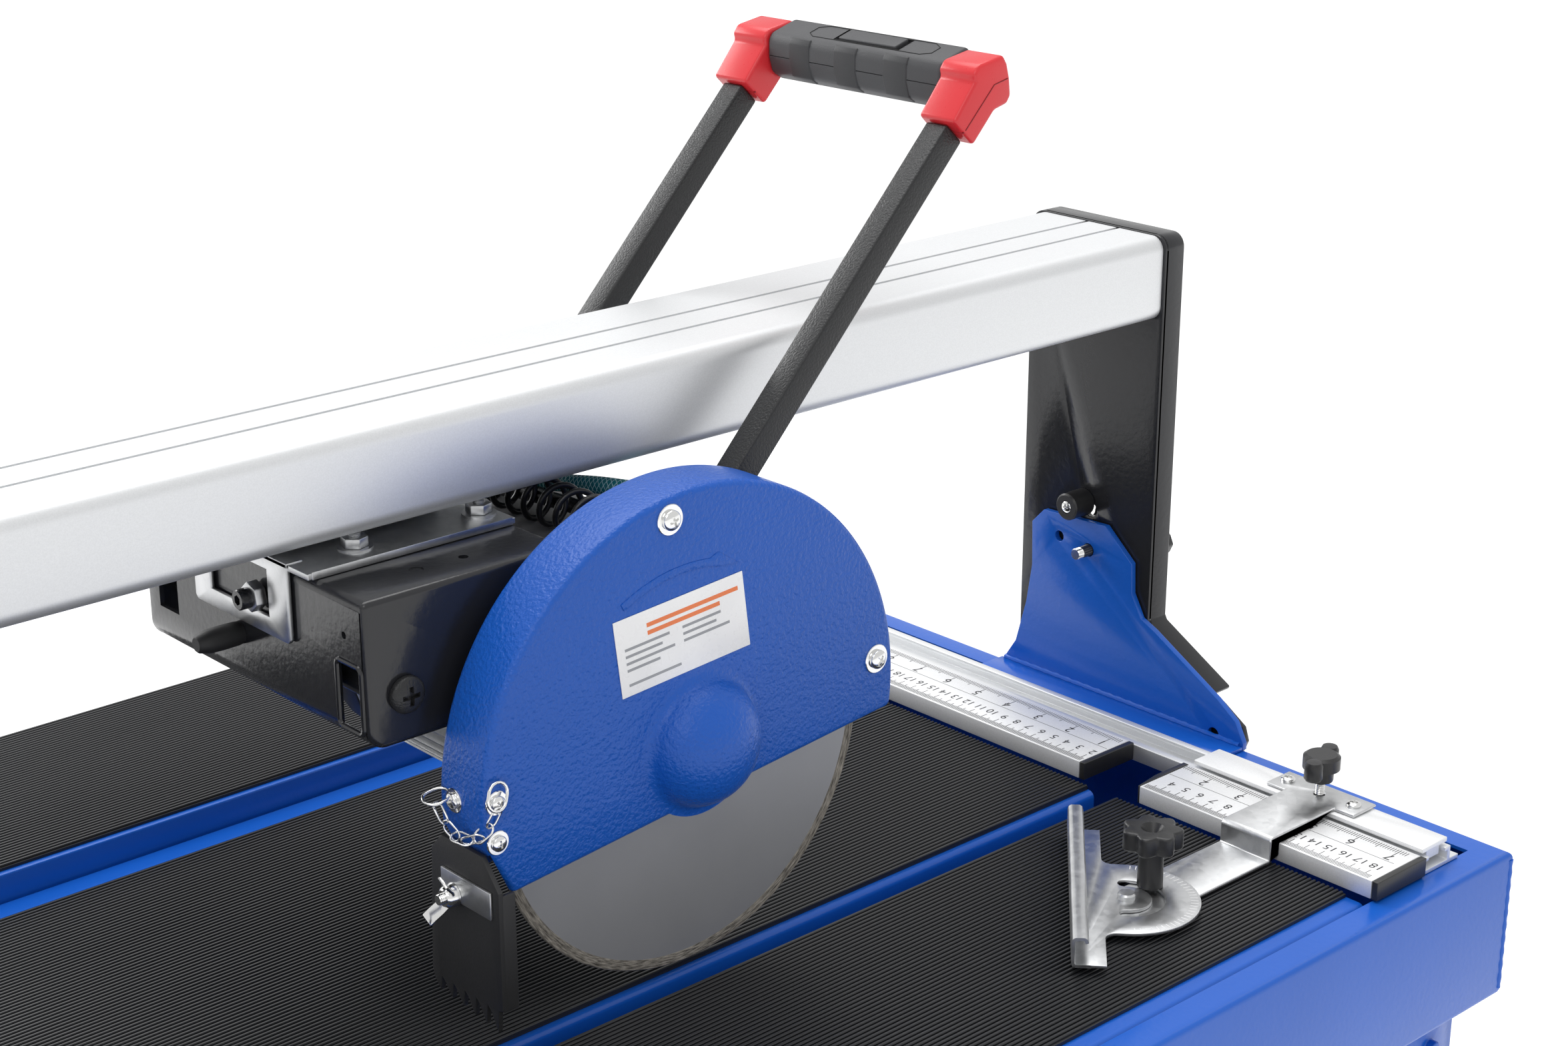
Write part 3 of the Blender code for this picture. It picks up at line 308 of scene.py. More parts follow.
def braid_finish():
    """Clear blue-green hose with pale crossing threads, laid out along and round it by its UV map."""
    made = Finish("braided hose", (0.02, 0.33, 0.36), 0.35)
    uv = made.node("SeparateXYZ", {}, {0: made.node("TexCoord", {}, {}, "UV")})
    outputs = uv.socket.node.outputs
    u, v = Value(made, outputs[0]), Value(made, outputs[1])
    left = made.math_of("SINE", (u * BRAID_TURNS + v * BRAID_STRANDS) * (2 * pi))
    right = made.math_of("SINE", (u * BRAID_TURNS - v * BRAID_STRANDS) * (2 * pi))
    thread = left.math("MAXIMUM", left, right).above(0.90)
    made.colour(made.blend(thread, (0.01, 0.20, 0.23), (0.55, 0.80, 0.82)))
    return made.relief(thread, 0.0002)


SPINDLE = (0.205, TABLE + 0.121)
BLUE = (0.0075, 0.088, 0.435)

finishes = {}


def make_finishes():
    f = finishes
    f["blue"] = paint("blue powder coat", BLUE, 0.30, 480.0, 0.00075, 0.06)
    f["blue smooth"] = paint("blue smooth coat", shade(BLUE, 1.15), 0.22, 320.0, 0.00012, 0.16)
    f["black coat"] = paint("black gloss coat", (0.0160, 0.0165, 0.0190), 0.20, 300.0, 0.00012, 0.30)
    f["hammer black"] = paint("hammered black", (0.022, 0.0225, 0.0235), 0.32, 900.0, 0.00035)
    f["zinc"] = zinc_finish()
    f["aluminium"] = metal(
        "satin aluminium", (0.79, 0.80, 0.81), 0.46, 0.05, None, 1400.0, 0.000004, 0.78
    )
    f["scale plate"] = metal(
        "scale aluminium", (0.86, 0.865, 0.87), 0.52, 0.06, None, 1200.0, 0.000004, 0.55
    )
    f["cast"] = metal("cast alloy", (0.62, 0.63, 0.64), 0.50, 0.12, None, 500.0, 0.00020)
    f["steel"] = metal("ground steel", (0.50, 0.50, 0.51), 0.32, 0.14, (1.0, 6.0, 1.0), 200.0)
    f["chrome"] = metal("bright plate", (0.86, 0.86, 0.85), 0.14, 0.08, None, 120.0)
    f["blade"] = blade_finish()
    f["grit"] = grit_finish()
    f["mat"] = rubber_mat_finish()
    f["rubber"] = moulded("black rubber", (0.016, 0.016, 0.017), 0.55, 800.0)
    f["plastic"] = moulded("black plastic", (0.018, 0.018, 0.019), 0.36, 1100.0)
    f["grip"] = moulded("grip rubber", (0.045, 0.046, 0.050), 0.50, 1600.0, 0.0001)
    f["red"] = moulded("red plastic", (0.64, 0.024, 0.032), 0.30, 900.0, 0.00004)
    f["grey"] = paint("grey satin coat", (0.10, 0.10, 0.105), 0.45, 500.0, 0.0001)
    f["cord"] = moulded("cord sheath", (0.012, 0.012, 0.013), 0.32, 500.0)
    f["ink"] = moulded("scale ink", (0.025, 0.025, 0.028), 0.60)
    f["plate white"] = moulded("white plate", (0.86, 0.86, 0.87), 0.28, 300.0, 0.00001)
    f["bar grey"] = moulded("grey print", (0.30, 0.31, 0.33), 0.40)
    f["bar orange"] = moulded("orange print", (0.80, 0.20, 0.06), 0.40)
    f["hose"] = braid_finish()
    f["foot"] = moulded("foot rubber", (0.020, 0.020, 0.020), 0.70, 500.0)
    f["knurl"] = knurl_finish()
    # painted shade: near-black for the thin lines drawn round the grip's panel and its lever, standing in
    # for shadow in their seams
    f["line"] = moulded("seam shadow", (0.006, 0.006, 0.0065), 0.8)
    f["red seam"] = moulded("red seam", (0.20, 0.004, 0.008), 0.5)
    f["floor"] = moulded("studio floor", (0.90, 0.90, 0.90), 0.85, 6.0, 0.0)


# ---------------------------------------------------------------- mesh building


def at(axis, u, v, w):
    if axis == "x":
        return Vector((w, u, v))
    if axis == "y":
        return Vector((u, w, v))
    return Vector((u, v, w))


def closed_mesh(bm):
    bmesh.ops.recalc_face_normals(bm, faces=bm.faces)
    mesh = bpy.data.meshes.new("shape")
    bm.to_mesh(mesh)
    bm.free()
    return mesh


def prism(outline, axis, low, high):
    """An outline drawn out along an axis."""
    bm = bmesh.new()
    near = [bm.verts.new(at(axis, u, v, low)) for u, v in outline]
    far = [bm.verts.new(at(axis, u, v, high)) for u, v in outline]
    bm.faces.new(near)
    bm.faces.new(far)
    for k in range(len(outline)):
        j = (k + 1) % len(outline)
        bm.faces.new((near[k], near[j], far[j], far[k]))
    return closed_mesh(bm)


def arc_points(centre, radius, start, end, steps):
    """Points of an arc, by its angles in degrees."""
    turns = [radians(start + (end - start) * k / steps) for k in range(steps + 1)]
    return [(centre[0] + radius * cos(a), centre[1] + radius * sin(a)) for a in turns]


def block(x, y, z):
    return prism([(x[0], y[0]), (x[1], y[0]), (x[1], y[1]), (x[0], y[1])], "z", *z)


def turned(profile, centre, axis, segments=32, closed=False):
    """A profile of (radius, place along the axis) points, turned about the axis through the centre."""
    bm = bmesh.new()
    rings = []
    for radius, along in profile:
        count = 1 if radius < 1e-7 else segments
        turns = [2 * pi * k / segments for k in range(count)]
        rings.append(
            [
                bm.verts.new(at(axis, centre[0] + radius * cos(a), centre[1] + radius * sin(a), along))
                for a in turns
            ]
        )
    pairs = list(zip(rings, rings[1:])) + ([(rings[-1], rings[0])] if closed else [])
    for one, two in pairs:
        for k in range(segments):
            j = (k + 1) % segments
            corners = [one[k % len(one)], one[j % len(one)], two[j % len(two)], two[k % len(two)]]
            kept = [c for n, c in enumerate(corners) if c not in corners[:n]]
            if len(kept) > 2:
                bm.faces.new(kept)
    return closed_mesh(bm)


def rod(radius, span, centre, axis, segments):
    low, high = span
    return turned([(0, low), (radius, low), (radius, high), (0, high)], centre, axis, segments)


def tube(points, radius, sides=10, closed=False, uv=False):
    """A round tube along a path, carried along without twisting."""
    points = [Vector(p) for p in points]
    count = len(points)
    tangents = []
    for k in range(count):
        after = points[(k + 1) % count] if closed or k < count - 1 else points[k]
        before = points[k - 1] if closed or k > 0 else points[k]
        tangents.append((after - before).normalized())
    side = tangents[0].orthogonal().normalized()
    bm = bmesh.new()
    rings = []
    for k, point in enumerate(points):
        if k:
            side = tangents[k - 1].rotation_difference(tangents[k]) @ side
        side = (side - tangents[k] * side.dot(tangents[k])).normalized()
        other = tangents[k].cross(side)
        r = radius(k / (count - 1)) if callable(radius) else radius
        rings.append(
            [
                bm.verts.new(point + (side * cos(a) + other * sin(a)) * r)
                for a in (2 * pi * n / sides for n in range(sides))
            ]
        )
    layer = bm.loops.layers.uv.new("along") if uv else None
    pairs = [(k, (k + 1) % count) for k in range(count if closed else count - 1)]
    for k, m in pairs:
        for n in range(sides):
            j = (n + 1) % sides
            face = bm.faces.new((rings[k][n], rings[k][j], rings[m][j], rings[m][n]))
            if uv:
                for loop, (a, b) in zip(face.loops, ((k, n), (k, n + 1), (k + 1, n + 1), (k + 1, n))):
                    loop[layer].uv = (a / (count - 1), b / sides)
    if not closed:
        bm.faces.new(rings[0])
        bm.faces.new(rings[-1])
    return closed_mesh(bm)


def joined(*meshes):
    bm = bmesh.new()
    for mesh in meshes:
        bm.from_mesh(mesh)
    mesh = bpy.data.meshes.new("shape")
    bm.to_mesh(mesh)
    bm.free()
    return mesh


def moved(mesh, matrix):
    copy = mesh.copy()
    copy.transform(matrix)
    if matrix.determinant() < 0:
        copy.flip_normals()
    return copy


def shifted(mesh, x, y, z):
    return moved(mesh, Matrix.Translation((x, y, z)))


def modified(mesh, *steps):
    """The mesh after modifiers, each given as (type, settings)."""
    holder = bpy.data.objects.new("holder", mesh)
    bpy.context.scene.collection.objects.link(holder)
    helpers = []
    for kind, settings in steps:
        step = holder.modifiers.new(kind.lower(), kind)
        for key, value in settings.items():
            if key == "tool":
                tool = bpy.data.objects.new("tool", value)
                bpy.context.scene.collection.objects.link(tool)
                helpers.append(tool)
                step.object = tool
            else:
                setattr(step, key, value)
    bpy.context.view_layer.update()
    result = bpy.data.meshes.new_from_object(
        holder.evaluated_get(bpy.context.evaluated_depsgraph_get())
    )
    for obj in [holder] + helpers:
        bpy.data.objects.remove(obj)
    return result


def rounded(mesh, width, segments=3, angle=28):
    bevel = {
        "width": width, "segments": segments, "limit_method": "ANGLE", "angle_limit": radians(angle)
    }
    return modified(mesh, ("BEVEL", bevel))


def minus(mesh, *tools):
    return modified(mesh, *[("BOOLEAN", {"operation": "DIFFERENCE", "tool": tool}) for tool in tools])


def piece(name, mesh, body, finish, replaces=(), angle=35, shift=True):
    """Places a finished mesh on its body and gives it its material."""
    if shift:
        mesh.transform(Matrix.Translation((0, -BACK, 0)))
    mesh.materials.clear()
    mesh.materials.append(finishes[finish].material)
    mesh.shade_smooth()
    mesh.set_sharp_from_angle(angle=radians(angle))
    obj = bpy.data.objects.new(name, mesh)
    bpy.context.scene.collection.objects.link(obj)
    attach(obj, body)
    if replaces:
        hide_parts(*replaces)
    return obj


def cad_copy(node):
    """The node's mesh with its loose triangles joined into whole flat faces, in the layout frame."""
    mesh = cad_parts[node].data.copy()
    bm = bmesh.new()
    bm.from_mesh(mesh)
    bmesh.ops.remove_doubles(bm, verts=bm.verts, dist=0.00002)
    bmesh.ops.dissolve_limit(bm, angle_limit=radians(0.6), verts=bm.verts, edges=bm.edges)
    bm.to_mesh(mesh)
    bm.free()
    return shifted(mesh, 0, BACK, 0)


def softened(node, width, body, finish, segments=3, name=None):
    """Stands for a CAD node with the same shape and rounded edges."""
    return piece(
        name or node + "_skin", rounded(cad_copy(node), width, segments), body, finish, [node]
    )


# ---------------------------------------------------------------- repeats by geometry nodes


def repeat_tree():
    """Copies of the modifier's own mesh, each moved by Step and turned by Turn about Centre."""
    tree = bpy.data.node_groups.new("repeat", "GeometryNodeTree")
    face = tree.interface
    face.new_socket("Geometry", in_out="INPUT", socket_type="NodeSocketGeometry")
    for name, kind in (
        ("Count", "Int"), ("Step", "Vector"), ("Turn", "Vector"), ("Centre", "Vector"),
        ("Finish", "Material"),
    ):
        face.new_socket(name, in_out="INPUT", socket_type="NodeSocket" + kind)
    face.new_socket("Geometry", in_out="OUTPUT", socket_type="NodeSocketGeometry")

    def node(kind, settings=None, **inputs):
        made = tree.nodes.new(kind)
        for key, value in (settings or {}).items():
            setattr(made, key, value)
        for key, value in inputs.items():
            socket = made.inputs[key.replace("_", " ")]
            if isinstance(value, bpy.types.NodeSocket):
                tree.links.new(value, socket)
            else:
                socket.default_value = value
        return made

    given = node("NodeGroupInput").outputs
    order = node("GeometryNodeInputIndex").outputs[0]
    points = node("GeometryNodePoints", Count=given["Count"]).outputs[0]
    copies = node("GeometryNodeInstanceOnPoints", Points=points, Instance=given["Geometry"]).outputs[0]
    along = node(
        "ShaderNodeVectorMath", {"operation": "SCALE"}, Vector=given["Step"], Scale=order
    ).outputs[0]
    placed = node("GeometryNodeTranslateInstances", Instances=copies, Translation=along).outputs[0]
    swing = node(
        "ShaderNodeVectorMath", {"operation": "SCALE"}, Vector=given["Turn"], Scale=order
    ).outputs[0]
    turn = node(
        "GeometryNodeRotateInstances", Instances=placed, Rotation=swing, Pivot_Point=given["Centre"]
    )
    turn.inputs["Local Space"].default_value = False
    real = node("GeometryNodeRealizeInstances", Geometry=turn.outputs[0]).outputs[0]
    done = node("GeometryNodeSetMaterial", Geometry=real, Material=given["Finish"]).outputs[0]
    out = node("NodeGroupOutput")
    tree.links.new(done, out.inputs[0])
    return tree


def repeated(mesh, count, finish, step=(0, 0, 0), turn=(0, 0, 0), centre=(0, 0, 0)):
    """A plain mesh of count copies."""
    tree = bpy.data.node_groups.get("repeat") or repeat_tree()
    holder = bpy.data.objects.new("holder", mesh)
    bpy.context.scene.collection.objects.link(holder)
    modifier = holder.modifiers.new("repeat", "NODES")
    modifier.node_group = tree
    values = {
        "Count": count, "Step": step, "Turn": turn, "Centre": centre,
        "Finish": finishes[finish].material,
    }
    for item in tree.interface.items_tree:
        if item.in_out == "INPUT" and item.name in values:
            modifier[item.identifier] = values[item.name]
    bpy.context.view_layer.update()
    result = bpy.data.meshes.new_from_object(
        holder.evaluated_get(bpy.context.evaluated_depsgraph_get())
    )
    holder.modifiers.clear()
    bpy.data.objects.remove(holder)
    return result


# ---------------------------------------------------------------- fasteners


def facing(direction):
    """Turns +Z to the direction."""
    return Vector((0, 0, 1)).rotation_difference(Vector(direction)).to_matrix().to_4x4()


def cross_screw(radius, washer=0.0, thick=0.0008):
    """A pan-head screw with a cross recess, on an optional washer; it stands on Z = 0."""
    base = thick if washer else 0.0
    r, h = radius, radius * 0.62
    dome = [
        (r * cos(a), base + h * 0.35 + h * 0.65 * sin(a)) for a in (radians(9 * k) for k in range(10))
    ]
    head = turned(
        [(0, base), (r * 0.97, base), (r, base + h * 0.15)] + dome[:-1] + [(0, base + h)], (0, 0), "z",
        28,
    )
    arm, wide = r * 0.52, r * 0.13
    deep = (base + h * 0.45, base + h * 1.5)
    head = minus(head, block((-arm, arm), (-wide, wide), deep), block((-wide, wide), (-arm, arm), deep))
    if not washer:
        return head
    ring = [
        (r * 0.4, 0.0), (washer, 0.0), (washer, thick * 0.7), (washer - thick * 0.3, thick),
        (r * 0.4, thick),
    ]
    return joined(head, turned(ring, (0, 0), "z", 32, closed=True))


def hex_nut(across, height, washer=0.0, stud=0.0):
    r = across / 2 / cos(pi / 6)
    base = 0.0012 if washer else 0.0
    sides = [(r * cos(pi / 3 * k), r * sin(pi / 3 * k)) for k in range(6)]
    parts = [rounded(prism(sides, "z", base, base + height), height * 0.12, 2)]
    if washer:
        parts.append(
            turned(
                [(across * 0.25, 0), (washer, 0), (washer, 0.0012), (across * 0.25, 0.0012)], (0, 0),
                "z", 28, True,
            )
        )
    if stud:
        parts.append(threaded(across * 0.27, 0.0, base + height + stud))
    return joined(*parts)


def threaded(radius, low, high, pitch=0.0010):
    turns = int((high - low) / pitch)
    profile = [(0, low)]
    for k in range(turns):
        z = low + k * pitch
        profile += [(radius * 0.90, z), (radius, z + pitch * 0.5)]
    profile += [(radius * 0.88, low + turns * pitch), (0, low + turns * pitch)]
    return turned(profile, (0, 0), "z", 16)


def put(mesh, place, direction=(0, 0, 1), roll=0.0):
    spin = Matrix.Rotation(roll, 4, "Z")
    return moved(mesh, Matrix.Translation(place) @ facing(direction) @ spin)


# ---------------------------------------------------------------- tub, plates and mats


def swept_rectangle(profile, x, y):
    """A closed profile of (inset, height) points carried round a rectangle with mitred corners."""
    bm = bmesh.new()
    loops = []
    for inset, height in profile:
        corners = (
            (x[0] + inset, y[0] + inset), (x[1] - inset, y[0] + inset), (x[1] - inset, y[1] - inset),
            (x[0] + inset, y[1] - inset),
        )
        loops.append([bm.verts.new((cx, cy, height)) for cx, cy in corners])
    for one, two in zip(loops, loops[1:] + loops[:1]):
        for k in range(4):
            j = (k + 1) % 4
            bm.faces.new((one[k], one[j], two[j], two[k]))
    return closed_mesh(bm)


TUB_X, TUB_Y = (-0.625, 0.625), (-0.206, 0.300)
TUB_Z = (TABLE - 0.089, TABLE - 0.001)
RIB_PLACES = (-0.36, 0.36)
PLATE_TOP, PLATE_HALF = TABLE - 0.0033, 0.5165
FRONT_PLATE_Y, REAR_PLATE_Y = (-0.186, -0.0085), (0.0030, 0.285)
MAT_RIB_PITCH, MAT_RIB_HEIGHT = 0.00295, 0.0013


def make_tub():
    """The folded sheet tub, its two cross ribs and the weld down each corner."""
    low, top = TUB_Z
    r, t, lip = 0.0042, 0.0020, 0.0175
    fold = arc_points((r, top - r), r, 180, 90, 6)
    inner = [(lip, top), (lip, top - t), (r, top - t), (t, top - r), (t, low + t)]
    foot = [
        (t + 0.003, low + t), (t + 0.003, low), (0.003, low), (0.0008, low + 0.0008), (0, low + 0.003)
    ]
    wall = swept_rectangle(foot[4:] + fold + inner + foot[:4], TUB_X, TUB_Y)
    floor = block(
        (TUB_X[0] + 0.004, TUB_X[1] - 0.004), (TUB_Y[0] + 0.004, TUB_Y[1] - 0.004),
        (low + 0.0001, low + t - 0.0001),
    )
    parts = [wall, floor]
    for middle in RIB_PLACES:
        near, far, under = middle - 0.015, middle + 0.015, TABLE - 0.0405
        rib = [(near, low + t), (far, low + t), (far, under), (near, under)]
        parts.append(rounded(prism(rib, "y", TUB_Y[0] + 0.003, TUB_Y[1] - 0.003), 0.002))
    for side_x in (TUB_X[0] + 0.0012, TUB_X[1] - 0.0012):
        for side_y in (TUB_Y[0] + 0.0012, TUB_Y[1] - 0.0012):
            seam = [(side_x, side_y, low + 0.004 + (top - low - 0.009) * k / 40) for k in range(41)]
            parts.append(tube(seam, lambda s: 0.0021 + 0.0002 * sin(s * 190), 8))
    piece("tub", joined(*parts), "frame", "blue smooth", ["tub_frame"], angle=50)


def plate_outline(y, thick=0.003, drop=0.0100):
    """Section of a table plate, with both long edges rounded and turned down."""
    top, r = PLATE_TOP, 0.0040
    left = arc_points((y[0] + r, top - r), r, 180, 90, 6)
    right = arc_points((y[1] - r, top - r), r, 90, 0, 6)
    under = [
        (y[1], top - drop), (y[1] - thick, top - drop), (y[1] - thick, top - thick),
        (y[0] + thick, top - thick),
    ]
    return left + right + under + [(y[0] + thick, top - drop), (y[0], top - drop)]


def ribbed_mat(x, y, z):
    """A rubber mat: a slab and a row of round-topped ribs that run the length of the table."""
    pitch, height = MAT_RIB_PITCH, MAT_RIB_HEIGHT
    slab = block(x, y, (z[0], z[1] - height))
    wide = pitch * 0.62
    side = [(wide / 2, 0), (wide * 0.46, height * 0.70), (wide * 0.28, height)]
    rib = [(-wide / 2, 0)] + side + [(-u, v) for u, v in side[:0:-1]]
    count = int((y[1] - y[0] - wide) / pitch) + 1
    first = (y[0] + y[1]) / 2 - pitch * (count - 1) / 2
    one = prism(
        [(first + u, z[1] - height - 0.0001 + v) for u, v in rib], "x", x[0] + 0.0005, x[1] - 0.0005
    )
    return joined(slab, repeated(one, count, "mat", step=(0, pitch, 0)))


def make_plates():
    """Two table plates on posts from the tub's ribs, their mats, and the side table."""
    for name, y in (("front", FRONT_PLATE_Y), ("rear", REAR_PLATE_Y)):
        sheet = prism(plate_outline(y), "x", -PLATE_HALF, PLATE_HALF)
        middle, height = sum(y) / 2, (TABLE - 0.0395, PLATE_TOP - 0.0025)
        posts = [
            block((c - 0.011, c + 0.011), (middle - 0.045, middle + 0.045), height) for c in RIB_PLACES
        ]
        piece(
            "plate_" + name, joined(sheet, *posts), "frame", "blue smooth", ["table_" + name],
        )
    for name in ("front", "rear", "side"):
        low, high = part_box("mat_" + name)
        mesh = ribbed_mat((low.x, high.x), (low.y + BACK, high.y + BACK), (low.z, high.z))
        piece("ribbed_mat_" + name, mesh, "frame", "mat", ["mat_" + name])
    softened("side_table", 0.0012, "frame", "blue smooth")


# ---------------------------------------------------------------- rulers, rail and gauge


RULER_X, RULER_W, RULER_TOP = 0.518, 0.044, TABLE + 0.011
FRONT_RULER_Y, REAR_RULER_Y = (-0.188, -0.029), (0.0165, 0.262)
MARK_Z = (RULER_TOP - 0.00002, RULER_TOP + 0.00006)
CENTIMETRE, INCH = 0.010, 0.0254


def mark(x, y, length, width=0.00042):
    return block((x, x + length), (y - width / 2, y + width / 2), MARK_Z)


def figure(text, size, matrix):
    curve = bpy.data.curves.new("figure", "FONT")
    curve.body, curve.size, curve.extrude = text, size, 0.00003
    curve.align_x, curve.align_y = "CENTER", "CENTER"
    holder = bpy.data.objects.new("figure", curve)
    bpy.context.scene.collection.objects.link(holder)
    bpy.context.view_layer.update()
    mesh = bpy.data.meshes.new_from_object(holder.evaluated_get(bpy.context.evaluated_depsgraph_get()))
    bpy.data.objects.remove(holder)
    mesh.transform(matrix)
    return mesh


def ruler_marks(sign, near, far):
    """Millimetres along the inner edge and sixteenths along the outer one, counted from the cut line."""
    parts = []
    for unit, per, x, out, lengths in (
        (CENTIMETRE / 10, 10, RULER_X + 0.0012, 1, (0.0045, 0.0066, 0.0092)),
        (INCH / 16, 16, RULER_X + RULER_W - 0.0026, -1, (0.0042, 0.0062, 0.0100)),
    ):
        first, last = int(near / unit) + 1, int(far / unit)
        for step, length in zip((1, per // 2, per), lengths):
            start = -(-first // step) * step
            count = (last - start) // step + 1
            if count < 1:
                continue
            place = x if out > 0 else x - length
            one = mark(place, sign * start * unit, length)
            parts.append(repeated(one, count, "ink", step=(0, sign * step * unit, 0)))
    line_y = sorted((sign * near, sign * far))
    parts.append(block((RULER_X + 0.0252, RULER_X + 0.0255), line_y, MARK_Z))
    turn = Matrix.Rotation(radians(90), 4, "Z")
    for unit, x, size in ((CENTIMETRE, RULER_X + 0.0158, 0.0082), (INCH, RULER_X + 0.0302, 0.0092)):
        for number in range(int(near / unit) + 1, int(far / unit) + 1):
            place = Matrix.Translation((x, sign * (number * unit), RULER_TOP + 0.00003))
            parts.append(figure(str(number), size, place @ turn))
    return joined(*parts)


def make_rulers():
    for name, sign, y in (("front", -1, FRONT_RULER_Y), ("rear", 1, REAR_RULER_Y)):
        bar = rounded(block((RULER_X, RULER_X + RULER_W), y, (TABLE + GAP, RULER_TOP)), 0.0006, 2)
        piece("ruler_bar_" + name, bar, "frame", "scale plate", ["ruler_" + name])
        ends = sorted(abs(v) for v in y)
        marks = ruler_marks(sign, ends[0] + 0.001, ends[1] - 0.004)
        piece("ruler_marks_" + name, marks, "frame", "ink", ())
    for node in ("ruler_cap_front_slot", "ruler_cap_front_end", "ruler_cap_rear_slot"):
        softened(node, 0.0004, "frame", "plastic")
    softened("end_rail", 0.0004, "frame", "aluminium")
    softened("gauge_slider", 0.0004, "gauge", "scale plate")


GAUGE_Y = -0.1105
BRIDGE_TOP = RULER_TOP + 0.0005 + 0.0025 + GAP + 0.002
THUMB_PLACE = (0.576, GAUGE_Y)
GAUGE_PIN = (0.417, -0.106)
FENCE = radians(42.5)
FENCE_ENDS, FENCE_FACE, FENCE_TOP = (-0.074, 0.080), 0.0300, TABLE + 0.0200
PLATE_LOW, DISC_R = TABLE + 0.0033, 0.039


def fence_frame(u, v):
    return (
        GAUGE_PIN[0] + u * cos(FENCE) - v * sin(FENCE), GAUGE_PIN[1] + u * sin(FENCE) + v * cos(FENCE)
    )


def slot_strip(radius, half, start, end, steps=24):
    """An arc slot's outline round the origin, with round ends."""
    first = (radius * cos(radians(start)), radius * sin(radians(start)))
    last = (radius * cos(radians(end)), radius * sin(radians(end)))
    outer = arc_points((0, 0), radius + half, start, end, steps)
    inner = arc_points((0, 0), radius - half, end, start, steps)
    far_end = arc_points(last, half, end, end + 180, 8)[1:-1]
    near_end = arc_points(first, half, start + 180, start + 360, 8)[1:-1]
    return outer + far_end + inner + near_end


def make_gauge():
    """The gauge's bridge and screws, and its half-round plate with a folded fence on a rivet."""
    softened("gauge_bridge", 0.0010, "gauge", "zinc")
    flat = cross_screw(0.0042)
    heads = [put(flat, (0.577, GAUGE_Y + d, BRIDGE_TOP), (0, 0, 1), 0.4) for d in (-0.0225, 0.0225)]
    piece("gauge_screws", joined(*heads), "gauge", "chrome", ())
    r, neck, back = 0.006, 0.012, 0.0292
    left, right = FENCE_ENDS
    shape = arc_points((0, 0), DISC_R, -180, 0, 40) + arc_points((DISC_R + r, neck - r), r, 180, 90, 5)
    shape += [(right, neck), (right, back), (left, back), (left, neck)]
    shape += arc_points((-DISC_R - r, neck - r), r, 90, 0, 5)
    plate = prism([fence_frame(u, v) for u, v in shape], "z", PLATE_LOW, PLATE_LOW + 0.0018)
    slot = [fence_frame(u, v) for u, v in slot_strip(0.0170, 0.0036, -182, 2)]
    plate = rounded(minus(plate, prism(slot, "z", PLATE_LOW - 0.01, PLATE_LOW + 0.01)), 0.0003, 2)
    r, lip = 0.0026, FENCE_TOP
    bend = arc_points((FENCE_FACE - r, PLATE_LOW + r), r, -90, 0, 6)
    top = arc_points((FENCE_FACE - r, lip - r), r, 0, 90, 6)
    path = [(0.0200, PLATE_LOW)] + bend + top + [
        (0.0235, lip), (0.0222, lip - 0.0008), (0.0214, lip - 0.0028)
    ]
    wall = folded_strip(path, 0.0017, FENCE_ENDS)
    wall.transform(Matrix.Translation((*GAUGE_PIN, 0)) @ Matrix.Rotation(FENCE, 4, "Z"))
    rivet = [(0, 0), (0.0048, 0), (0.0048, 0.0042), (0.0040, 0.0052), (0, 0.0054)]
    rivet = turned([(r, PLATE_LOW + up) for r, up in rivet], GAUGE_PIN, "z", 24)
    piece(
        "protractor_plate", joined(plate, wall, rivet), "protractor", "zinc", ["protractor"],
    )
    tick = block((0.0335, 0.0375), (-0.00022, 0.00022), (PLATE_LOW + 0.0017, PLATE_LOW + 0.00188))
    tick.transform(Matrix.Translation((*GAUGE_PIN, 0)) @ Matrix.Rotation(FENCE - radians(175), 4, "Z"))
    ticks = repeated(tick, 35, "plate white", turn=(0, 0, radians(5)), centre=(*GAUGE_PIN, 0))
    piece("protractor_marks", ticks, "protractor", "plate white", ())
    make_gauge_knobs()


def folded_strip(path, thick, span):
    """A bent sheet: a path in the YZ plane with thickness to its left, drawn out along X."""
    left = []
    for k, (y, z) in enumerate(path):
        y0, z0 = path[max(k - 1, 0)]
        y1, z1 = path[min(k + 1, len(path) - 1)]
        run = hypot(y1 - y0, z1 - z0)
        left.append((y - (z1 - z0) / run * thick, z + (y1 - y0) / run * thick))
    return prism(path + left[::-1], "x", *span)


def lobed(centre, inner, outer, lobes, steps, power=1.0):
    points = []
    for k in range(lobes * steps):
        a = 2 * pi * k / (lobes * steps)
        wave = (0.5 + 0.5 * cos(lobes * a)) ** power
        r = inner + (outer - inner) * wave
        points.append((centre[0] + r * cos(a), centre[1] + r * sin(a)))
    return points


